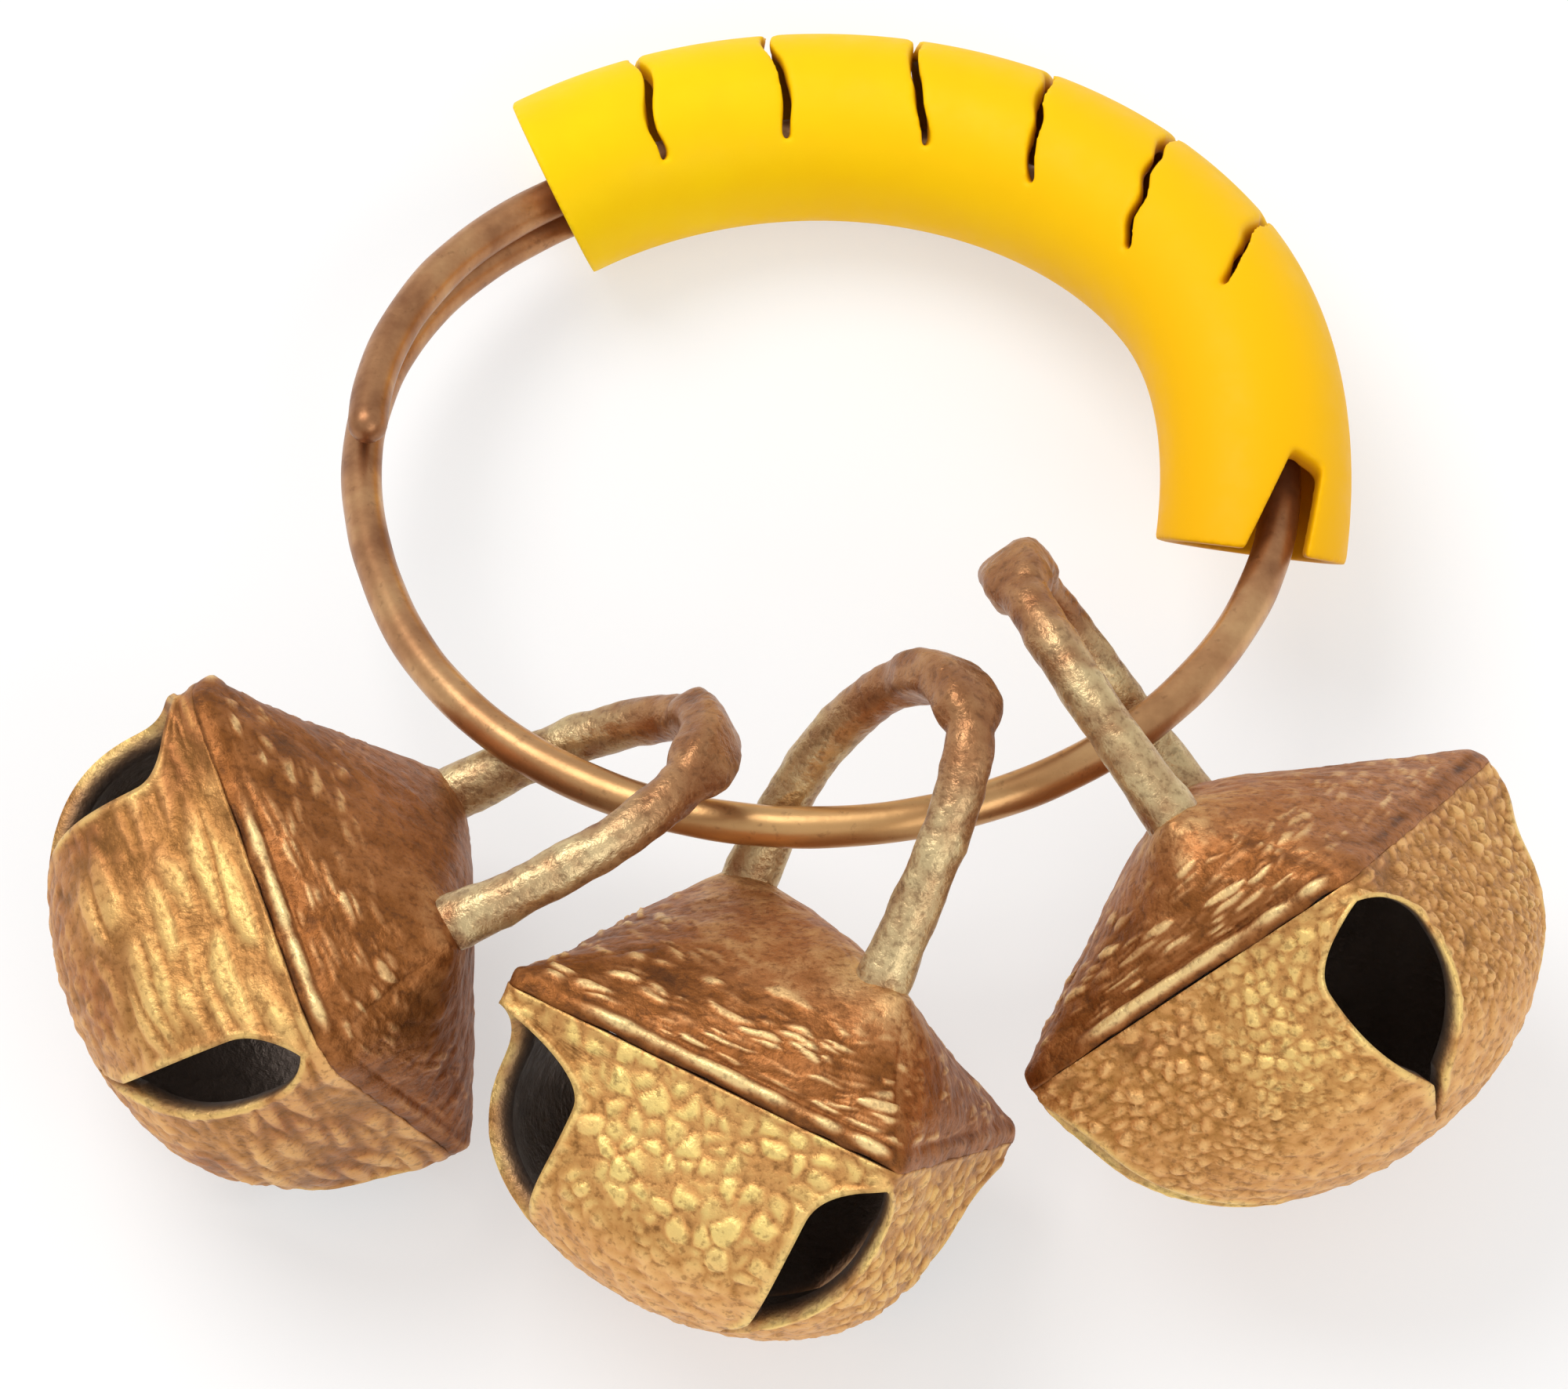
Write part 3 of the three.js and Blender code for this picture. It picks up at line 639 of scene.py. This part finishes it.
def bell_loop(name, seed, place, material):
    casting = CASTINGS[name]
    lean = casting["lean"] * MM
    builder = Builder()
    across = Vector((1, 0, 0))
    drops = [Vector((0, 0, LOOP_FOOT_DEPTH * i / 4)) for i in range(1, 5)]
    centres = [(arch_point(0, lean) - drop, 0.0) for drop in reversed(drops)]
    centres += [(arch_point(i / LOOP_STEPS, lean), i / LOOP_STEPS) for i in range(LOOP_STEPS + 1)]
    centres += [(arch_point(1, lean) - drop, 1.0) for drop in drops]
    rings = []
    for i, (centre, t) in enumerate(centres):
        before = centres[max(i - 1, 0)][0]
        after = centres[min(i + 1, len(centres) - 1)][0]
        up = across.cross((after - before).normalized())
        height = max(centre.z - CROWN_HEIGHT, 0)
        spread = LOOP_FOOT_SPREAD * math.exp(-height / LOOP_FOOT_REACH)
        top = smoothstep(math.sin(math.pi * t), 0.86, 0.95)
        wide = LOOP_LEG_RADIUS + spread + LOOP_TOP_SPREAD * top
        high = LOOP_LEG_RADIUS + spread
        exponent = lerp(LOOP_ROUND, LOOP_SQUARED, top)
        # The lower legs are made pale gold and the top red-brown: lighter brass with a painted highlight on the
        # legs.
        gilt = 0.95 * (1 - smoothstep(height / LOOP_HEIGHT, 0.5, 0.85))
        ring = []
        for k in range(LOOP_SIDES):
            angle = 2 * math.pi * k / LOOP_SIDES
            sideways = wide * squared(math.cos(angle), exponent)
            point = centre + across * sideways + up * (high * squared(math.sin(angle), exponent))
            lumps = LOOP_LUMP * rough(point, LOOP_LUMP_SIZE, seed)
            lumps += LOOP_GRAIN * rough(point, LOOP_GRAIN_SIZE, seed + 2)
            ring.append(builder.vertex(point, lift=lumps * MM, relief=0.45 + 2.5 * lumps, gilt=gilt))
        rings.append(ring)
    builder.loft(rings)
    for ring, (centre, _) in ((rings[0], centres[0]), (rings[-1], centres[-1])):
        builder.fan(ring, builder.vertex(centre))
    place = place @ Matrix.Rotation(math.radians(casting["skew"]), 4, "Z")
    hand_over(builder.finish(f"{name}_cast_loop", place, material), f"{name}_loop", name)


def bell_pellet(name, seed, material):
    low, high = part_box(f"{name}_pellet")
    mesh = bpy.data.meshes.new(f"{name}_pellet_ball")
    bm = bmesh.new()
    bmesh.ops.create_icosphere(bm, subdivisions=PELLET_FINENESS, radius=PELLET_RADIUS)
    for v in bm.verts:
        dents = PELLET_DENT * rough(v.co, PELLET_DENT_SIZE, seed)
        dents += PELLET_GRAIN * rough(v.co, PELLET_GRAIN_SIZE, seed + 1)
        seam = PELLET_SEAM * math.exp(-((v.co.z / PELLET_SEAM_WIDTH) ** 2))
        v.co *= 1 + (dents + seam - PELLET_DROP) * MM / PELLET_RADIUS
    for f in bm.faces:
        f.smooth = True
    bm.to_mesh(mesh)
    bm.free()
    obj = add_object(mesh.name, mesh, Matrix.Translation((low + high) / 2), material)
    hand_over(obj, f"{name}_pellet", name.replace("bell", "pellet"))


# Wire and grip

def wire_point(angle):
    offset = OVERLAP_OFFSET * smoothstep(angle, OVERLAP_START, OVERLAP_START + OVERLAP_RAMP)
    beside = clamp((angle % (2 * math.pi) - RING_SWELL_ANGLE) / RING_SWELL_HALF_ANGLE, -1, 1)
    swell = RING_SWELL * math.cos(math.pi / 2 * beside) ** 2
    radius = RING_RADIUS + swell - offset * math.sin(OVERLAP_LEAN)
    return Vector((radius * math.cos(angle), radius * math.sin(angle), offset * math.cos(OVERLAP_LEAN)))


def ring_wire(material):
    builder = Builder()
    up = Vector((0, 0, 1))
    step = (FREE_END - HIDDEN_END) / WIRE_STEPS
    rings = []
    stations = []
    for i in range(WIRE_STEPS + 1):
        angle = HIDDEN_END + step * i
        tangent = (wire_point(angle + step) - wire_point(angle - step)).normalized()
        stations.append((wire_point(angle), tangent, 1.0))
    caps = [(math.sin(a), math.cos(a)) for a in (math.radians(d) for d in (25, 48, 66, 80))]
    first, last = stations[0], stations[-1]
    before = [(first[0] - first[1] * (out * WIRE_RADIUS), first[1], size) for out, size in reversed(caps)]
    after = [(last[0] + last[1] * (out * WIRE_RADIUS), last[1], size) for out, size in caps]
    stations = before + stations + after
    for centre, tangent, size in stations:
        across = tangent.cross(up).normalized()
        lift = across.cross(tangent)
        # Painted highlight: the wire is made golden along the front of the ring, the side that faces the camera.
        wire_highlight = math.atan2(centre.x, -centre.y) / WIRE_HIGHLIGHT_ANGLE
        gilt = math.exp(-(wire_highlight ** 2))
        ring = []
        for k in range(WIRE_SIDES):
            angle = 2 * math.pi * k / WIRE_SIDES
            point = centre + (across * math.cos(angle) + lift * math.sin(angle)) * (WIRE_RADIUS * size)
            ring.append(builder.vertex(point, lift=WIRE_WAVER * rough(point, WIRE_WAVER_SIZE), gilt=gilt))
        rings.append(ring)
    builder.loft(rings)
    builder.fan(rings[0], builder.vertex(first[0] - first[1] * WIRE_RADIUS))
    builder.fan(rings[-1], builder.vertex(last[0] + last[1] * WIRE_RADIUS))
    obj = builder.finish("bent_wire", ring_frame(), material)
    hand_over(obj, "ring_wire", "ring")


def grip_shift(angle):
    """How far outside the wire the tube lies at an angle round the ring."""
    return GRIP_SHIFT * math.cos(angle - GRIP_PUSH_ANGLE)


def grip_point(t):
    arc = (GRIP_LAST - GRIP_FIRST) * RING_RADIUS
    run = t * (arc + GRIP_STRAIGHT_END)
    angle = GRIP_FIRST + min(run, arc) / RING_RADIUS
    past = max(run - arc, 0)
    droop = max((GRIP_FIRST + GRIP_DROOP_ANGLE - angle) / GRIP_DROOP_ANGLE, 0) ** 2
    radius = RING_RADIUS + lerp(grip_shift(angle), -GRIP_DROOP * math.sin(GRIP_DROOP_LEAN), droop)
    rise = lerp(GRIP_LIFT, -GRIP_DROOP * math.cos(GRIP_DROOP_LEAN), droop)
    x = radius * math.cos(angle) - past * math.sin(angle)
    y = radius * math.sin(angle) + past * math.cos(angle)
    return Vector((x, y, rise))


def wedge(builder, place, root_width, mouth_width, depth, across):
    """Trapezoid prism for a cut, its root at y = 0 and its mouth at y = depth, centred on x and z."""
    outline = ((-root_width, 0), (root_width, 0), (mouth_width, depth), (-mouth_width, depth))
    ends = []
    for z in (-across / 2, across / 2):
        ends.append([builder.vertex(place @ Vector((x / 2, y, z))) for x, y in outline])
    builder.strip(ends[0], ends[1], closed=True)
    builder.face(*ends[0])
    builder.face(*ends[1])


def wavy_slit(builder, place, root_width, mouth_width, depth, across, seed):
    """Sheet for a cut made by hand: it wavers from side to side, its root at y = 0 and its mouth at y = depth."""
    sheets = []
    for side in (-0.5, 0.5):
        sheet = []
        for i in range(SLIT_STEPS + 1):
            y = depth * i / SLIT_STEPS
            edge = side * lerp(root_width, mouth_width, i / SLIT_STEPS)
            row = []
            for k in range(SLIT_STEPS + 1):
                z = across * (k / SLIT_STEPS - 0.5)
                waver = SLIT_WAVER * rough(Vector((0, y, z)), SLIT_WAVE, seed)
                row.append(builder.vertex(place @ Vector((edge + waver, y, z))))
            sheet.append(row)
        builder.loft(sheet, closed=False)
        sheets.append(sheet)
    first, second = sheets
    for end in (0, -1):
        builder.strip(first[end], second[end])
        builder.strip([row[end] for row in first], [row[end] for row in second])


def cut_place(lean, twist, angle, shift, rise):
    place = Matrix.Rotation(angle, 4, "Z") @ Matrix.Translation((RING_RADIUS + shift, 0, rise))
    place = place @ Matrix.Rotation(twist, 4, "Z") @ Matrix.Rotation(math.pi / 2, 4, "X")
    return place @ Matrix.Rotation(-lean, 4, "Z")


def grip_cuts():
    builder = Builder()
    deep = 2 * GRIP_RADIUS
    for i in range(SLIT_COUNT):
        angle = SLIT_LAST - SLIT_PITCH * i - SLIT_PITCH_GROWTH * i ** 2
        twist = (SLIT_EVEN - angle) * (1 - SLIT_FOLLOW)
        depth, root, width = SLIT_DEPTH, SLIT_ROOT_WIDTH, SLIT_WIDTH
        if i == SLIT_COUNT - 1:
            depth, root, width = SLIT_SHALLOW_DEPTH, SLIT_SHALLOW_WIDTH, SLIT_SHALLOW_WIDTH
        place = cut_place(SLIT_LEAN, twist, angle, grip_shift(angle), GRIP_LIFT)
        place = place @ Matrix.Rotation(math.pi / 2 + SLIT_SKEWS[i], 4, "Y")
        place = place @ Matrix.Translation((0, GRIP_RADIUS - depth, 0))
        wavy_slit(builder, place, root, width, deep, 2 * deep, i)
    place = cut_place(NOTCH_LEAN, 0, GRIP_FIRST, 0, 0)
    place = place @ Matrix.Translation((0, GRIP_RADIUS - GRIP_DROOP, -NOTCH_LENGTH))
    place = place @ Matrix.Rotation(math.pi / 2, 4, "X")
    wedge(builder, place, NOTCH_ROOT_WIDTH, 2 * NOTCH_WIDTH - NOTCH_ROOT_WIDTH, 2 * NOTCH_LENGTH, deep)
    return builder.finish("grip_cuts", Matrix.Identity(4), None)


def slanted_end(builder, t, slant, turn):
    """Block that cuts the tube off at one end of its path, slanting in under it and turned inward."""
    step = 0.001 if t < 0.5 else -0.001
    out = Matrix.Rotation(-turn, 3, "Z") @ (grip_point(t) - grip_point(t + step)).normalized()
    across = Vector((0, 0, 1)).cross(out).normalized()
    up = out.cross(across)
    topmost = grip_point(t) + up * GRIP_RADIUS - out * (GRIP_RADIUS * math.tan(turn))
    away = out * math.cos(slant) - up * math.sin(slant)
    place = Matrix((across, away, across.cross(away))).transposed().to_4x4()
    size = 6 * GRIP_RADIUS
    wedge(builder, Matrix.Translation(topmost) @ place, size, size, size, size)


def grip_ends():
    builder = Builder()
    slanted_end(builder, 0, GRIP_FIRST_SLANT, 0)
    slanted_end(builder, 1, GRIP_LAST_SLANT, GRIP_LAST_TURN)
    return builder.finish("grip_ends", Matrix.Identity(4), None)


def finger_grip(material):
    builder = Builder()
    up = Vector((0, 0, 1))
    outer, inner = [], []
    for i in range(GRIP_STEPS + 1):
        t = i / GRIP_STEPS
        tangent = (grip_point(min(t + 0.01, 1)) - grip_point(max(t - 0.01, 0))).normalized()
        across = tangent.cross(up).normalized()
        lift = across.cross(tangent)
        centre = grip_point(t)
        outer.append(ring_of(builder, centre, across, lift, GRIP_SIDES, GRIP_RADIUS))
        inner.append(ring_of(builder, centre, across, lift, GRIP_SIDES, GRIP_BORE_RADIUS))
    builder.loft(outer)
    builder.loft(inner)
    builder.strip(outer[0], inner[0], closed=True)
    builder.strip(outer[-1], inner[-1], closed=True)
    tube = builder.finish("tube", Matrix.Identity(4), None)
    cutters = [grip_ends(), grip_cuts()]
    for cutter in cutters:
        cut = tube.modifiers.new(cutter.name, "BOOLEAN")
        cut.operation = "DIFFERENCE"
        cut.solver = "EXACT"
        cut.object = cutter
    remesh = tube.modifiers.new("remesh", "REMESH")
    remesh.mode = "VOXEL"
    remesh.voxel_size = GRIP_VOXEL
    smooth = tube.modifiers.new("smooth", "SMOOTH")
    smooth.factor = 0.5
    smooth.iterations = GRIP_SMOOTHING
    thin = tube.modifiers.new("thin", "DECIMATE")
    thin.ratio = GRIP_THINNING
    shaped = tube.evaluated_get(bpy.context.evaluated_depsgraph_get())
    mesh = bpy.data.meshes.new_from_object(shaped)
    for spent in [tube] + cutters:
        bpy.data.objects.remove(spent)
    mesh.name = "slit_tube"
    mesh.polygons.foreach_set("use_smooth", [True] * len(mesh.polygons))
    mark_grip(mesh)
    obj = add_object("slit_tube", mesh, ring_frame(), material)
    hand_over(obj, "finger_grip", "grip")


def mark_grip(mesh):
    """Stores how far each point of the grip lies along it, and under its skin, from 0 there to 1 at the bore."""
    count = 8 * GRIP_STEPS
    tree = kdtree.KDTree(count + 1)
    for i in range(count + 1):
        tree.insert(grip_point(i / count), i)
    tree.balance()
    nearest = [tree.find(vertex.co) for vertex in mesh.vertices]
    values = {
        "inside": [clamp((GRIP_RADIUS - away) / GRIP_WALL) for _, _, away in nearest],
        "along": [index / count for _, index, _ in nearest],
    }
    for name in Builder.LAYERS:
        if name in mesh.attributes:
            mesh.attributes.remove(mesh.attributes[name])
    for name, data in values.items():
        mesh.attributes.new(name, "FLOAT", "POINT").data.foreach_set("value", data)


# Materials

class Shader:
    """A node material built up from its Principled surface."""

    def __init__(self, name):
        self.material = bpy.data.materials.new(name)
        self.material.use_nodes = True
        self.tree = self.material.node_tree
        self.surface = self.tree.nodes["Principled BSDF"]
        self.place = self.add("ShaderNodeTexCoord").outputs["Object"]

    def add(self, kind, settings=(), inputs=()):
        made = self.tree.nodes.new(kind)
        for name, value in dict(settings).items():
            setattr(made, name, value)
        for name, value in dict(inputs).items():
            self.set(made.inputs[name], value)
        return made

    def set(self, socket, value):
        if isinstance(value, bpy.types.NodeSocket):
            self.tree.links.new(value, socket)
        else:
            socket.default_value = value

    def attribute(self, name):
        return self.add("ShaderNodeAttribute", {"attribute_name": name}).outputs["Fac"]

    def noise(self, size, detail=4.0, roughness=0.6):
        inputs = {"Vector": self.place, "Scale": 1 / size, "Detail": detail, "Roughness": roughness}
        return self.add("ShaderNodeTexNoise", inputs=inputs).outputs["Fac"]

    def ramp(self, value, *stops):
        made = self.add("ShaderNodeValToRGB", inputs={"Fac": value})
        elements = made.color_ramp.elements
        while len(elements) < len(stops):
            elements.new(0.5)
        for element, (position, colour) in zip(elements, stops):
            element.position = position
            element.color = (*colour, 1)
        return made.outputs["Color"]

    def range(self, value, low, high, start, end):
        inputs = {"Value": value, "From Min": low, "From Max": high, "To Min": start, "To Max": end}
        return self.add("ShaderNodeMapRange", inputs=inputs).outputs["Result"]

    def mix(self, factor, first, second):
        made = self.add("ShaderNodeMix", {"data_type": "RGBA"})
        self.set(made.inputs[0], factor)
        for socket, value in ((made.inputs[6], first), (made.inputs[7], second)):
            self.set(socket, value if isinstance(value, bpy.types.NodeSocket) else (*value, 1))
        return made.outputs[2]

    def bump(self, height, distance, strength=0.5, normal=None):
        inputs = {"Height": height, "Distance": distance, "Strength": strength}
        if normal:
            inputs["Normal"] = normal
        return self.add("ShaderNodeBump", inputs=inputs).outputs["Normal"]

    def finish(self, **inputs):
        names = {socket.name.lower().replace(" ", "_"): socket for socket in self.surface.inputs}
        for name, value in inputs.items():
            self.set(names[name], value)
        return self.material


def cast_metal(name, deep, dull, warm, bright, gold_and_highlight_colour, stain, mottling, pits, shine):
    """Cast metal: dark in its grooves, mottled on its level parts, bright or golden on its raised ones and where
    marked, which is rubbed metal and in part a painted highlight, with painted shade on its inside.
    """
    s = Shader(name)
    mottle = s.range(s.noise(1.6 * MM, 6, 0.7), 0.0, 1.0, 0.5 - mottling, 0.5 + mottling)
    inputs = {0: mottle, 1: s.attribute("relief")}
    height = s.add("ShaderNodeMath", {"operation": "ADD"}, inputs).outputs[0]
    level = s.range(height, 0.3, 1.4, 0.0, 1.0)
    skin = s.ramp(level, (0.05, deep), (0.25, dull), (0.5, warm), (0.9, bright))
    gold = s.ramp(level, (0.05, deep), (0.28, warm), (0.72, gold_and_highlight_colour))
    # Golden where marked: rubbed brass and in part a painted highlight.
    wear_and_highlight = s.mix(s.attribute("gilt"), skin, gold)
    stained = s.mix(s.attribute("stain"), wear_and_highlight, s.ramp(level, (0.1, deep), (0.6, stain), (0.95, warm)))
    grain = s.noise(0.4 * MM, 3)
    pitted = s.mix(s.range(grain, 0.34, 0.48, pits, 0.0), stained, deep)
    # Painted shade: the inside of each bell is made a dark grey-brown.
    painted_inside_shade = s.mix(s.attribute("inside"), pitted, (0.22, 0.17, 0.14))
    roughness = s.range(s.noise(1.1 * MM), 0.3, 0.7, shine, shine + 0.2)
    coarse = s.bump(s.noise(0.8 * MM, 4), 0.12 * MM, 0.5)
    normal = s.bump(grain, 0.08 * MM, 0.7, coarse)
    return s.finish(base_color=painted_inside_shade, metallic=0.75, roughness=roughness, normal=normal)


def copper_wire():
    """Tarnished copper: brown patches over a warm sheen with fine marks, and a painted highlight in gold along the
    front of the ring.
    """
    s = Shader("copper_wire")
    patches = s.noise(4 * MM, 5)
    colour = s.ramp(patches, (0.3, (0.27, 0.115, 0.05)), (0.5, (0.46, 0.23, 0.105)), (0.7, (0.63, 0.37, 0.175)))
    # Painted highlight: gold mixed in along the front of the ring.
    wire_highlight = s.mix(s.range(s.attribute("gilt"), 0.0, 1.0, 0.0, 0.8), colour, (0.68, 0.4, 0.16))
    marks = s.noise(0.6 * MM, 4)
    marked = s.mix(s.range(marks, 0.3, 0.4, 0.3, 0.0), wire_highlight, (0.12, 0.05, 0.022))
    roughness = s.range(patches, 0.3, 0.7, 0.42, 0.3)
    normal = s.bump(marks, 0.04 * MM, 0.4)
    return s.finish(base_color=marked, metallic=0.85, roughness=roughness, normal=normal)


def yellow_vinyl():
    """Soft yellow vinyl, warmer towards one end, with painted shade in its bore and on its cut faces, and a faint
    handled texture.
    """
    s = Shader("yellow_vinyl")
    tone = s.mix(s.attribute("along"), (0.93, 0.47, 0.0), (1.0, 0.69, 0.0))
    skin = s.mix(s.range(s.noise(7 * MM, 3), 0.35, 0.7, 0.3, 0.0), tone, (0.9, 0.48, 0.0))
    # Painted shade: the bore and the faces of the cuts are made a darker orange.
    colour = s.mix(s.range(s.attribute("inside"), 0.15, 0.6, 0.0, 1.0), skin, (0.62, 0.27, 0.002))
    marks = s.noise(1.2 * MM, 5)
    roughness = s.range(marks, 0.3, 0.7, 0.42, 0.58)
    normal = s.bump(marks, 0.05 * MM, 0.25)
    return s.finish(base_color=colour, roughness=roughness, normal=normal, specular_ior_level=0.12)


def iron_pellet():
    s = Shader("iron_pellet")
    rust = s.noise(1.4 * MM, 5)
    colour = s.ramp(rust, (0.35, (0.035, 0.03, 0.028)), (0.6, (0.1, 0.085, 0.075)), (0.78, (0.16, 0.07, 0.03)))
    roughness = s.range(rust, 0.3, 0.7, 0.5, 0.75)
    normal = s.bump(s.noise(0.4 * MM, 3), 0.06 * MM, 0.5)
    return s.finish(base_color=colour, metallic=0.7, roughness=roughness, normal=normal)


# Studio

def pale_floor():
    """Pale floor that looks white to the camera and in the metal, with the shadow still on it."""
    s = Shader("floor")
    s.finish(base_color=(0.96, 0.96, 0.96, 1), roughness=0.9)
    path = s.add("ShaderNodeLightPath").outputs
    seen = path["Is Camera Ray"]
    for name in ("Is Glossy Ray", "Is Transmission Ray"):
        seen = s.add("ShaderNodeMath", {"operation": "MAXIMUM"}, {0: seen, 1: path[name]}).outputs[0]
    white = s.add("ShaderNodeEmission", inputs={"Color": (1, 1, 1, 1), "Strength": 1}).outputs["Emission"]
    share = s.range(seen, 0.0, 1.0, 0.0, FLOOR_WHITENESS)
    mixed = s.add("ShaderNodeMixShader", inputs={0: share, 1: s.surface.outputs["BSDF"], 2: white})
    s.set(s.tree.nodes["Material Output"].inputs["Surface"], mixed.outputs["Shader"])
    return s.material


def floor_and_light():
    mesh = bpy.data.meshes.new("floor")
    half = FLOOR_SIZE / 2
    corners = [(-half, -half, 0), (half, -half, 0), (half, half, 0), (-half, half, 0)]
    mesh.from_pydata(corners, [], [(0, 1, 2, 3)])
    add_object("floor", mesh, Matrix.Identity(4), pale_floor())
    world = bpy.data.worlds.new("studio")
    bpy.context.scene.world = world
    world.use_nodes = True
    background = world.node_tree.nodes["Background"]
    background.inputs["Color"].default_value = (1, 1, 1, 1)
    background.inputs["Strength"].default_value = WORLD_LIGHT
    for name, (place, power) in LAMPS.items():
        area_light(name, place, power)


def area_light(name, place, power):
    light = bpy.data.lights.new(name, "AREA")
    light.shape = "DISK"
    light.size = LAMP_SIZE
    light.energy = power
    obj = bpy.data.objects.new(name, light)
    bpy.context.scene.collection.objects.link(obj)
    obj.location = place
    obj.rotation_euler = (CAMERA_TARGET - Vector(place)).to_track_quat("-Z", "Y").to_euler()


def photo_camera():
    data = bpy.data.cameras.new("photo")
    data.lens = CAMERA_LENS
    data.sensor_width = CAMERA_SENSOR
    data.clip_end = CAMERA_FAR
    obj = bpy.data.objects.new("photo", data)
    bpy.context.scene.collection.objects.link(obj)
    back = Vector((0, -math.cos(CAMERA_ELEVATION), math.sin(CAMERA_ELEVATION)))
    obj.location = CAMERA_TARGET + back * CAMERA_DISTANCE
    obj.rotation_euler = (-back).to_track_quat("-Z", "Y").to_euler()
    bpy.context.scene.camera = obj


def finger_bells():
    patina = (0.44, 0.17, 0.052)
    crown = cast_metal("crown_patina", (0.12, 0.04, 0.01), (0.26, 0.086, 0.016), patina,
                       (0.9, 0.58, 0.26), (0.95, 0.7, 0.32), patina, 0.45, 0.4, 0.4)
    bowl = cast_metal("brass_bowl", (0.2, 0.08, 0.016), (0.48, 0.22, 0.052), (0.69, 0.345, 0.11),
                      (0.86, 0.5, 0.19), (0.95, 0.7, 0.24), patina, 0.45, 0.45, 0.4)
    loop = cast_metal("loop_brass", (0.1, 0.045, 0.018), (0.2, 0.075, 0.028), (0.34, 0.145, 0.056),
                      (0.52, 0.28, 0.125), (0.69, 0.53, 0.28), patina, 0.45, 0.35, 0.28)
    iron = iron_pellet()
    for index, name in enumerate(HANGS):
        place = bell_frame(name)
        seed = 10 * index + 1
        bell_crown(name, seed, place, crown)
        bell_bowl(name, seed + 4, place, bowl)
        bell_loop(name, seed + 7, place, loop)
        bell_pellet(name, seed + 8, iron)
    ring_wire(copper_wire())
    finger_grip(yellow_vinyl())


finger_bells()
floor_and_light()
photo_camera()
bpy.context.scene.view_settings.view_transform = "Standard"
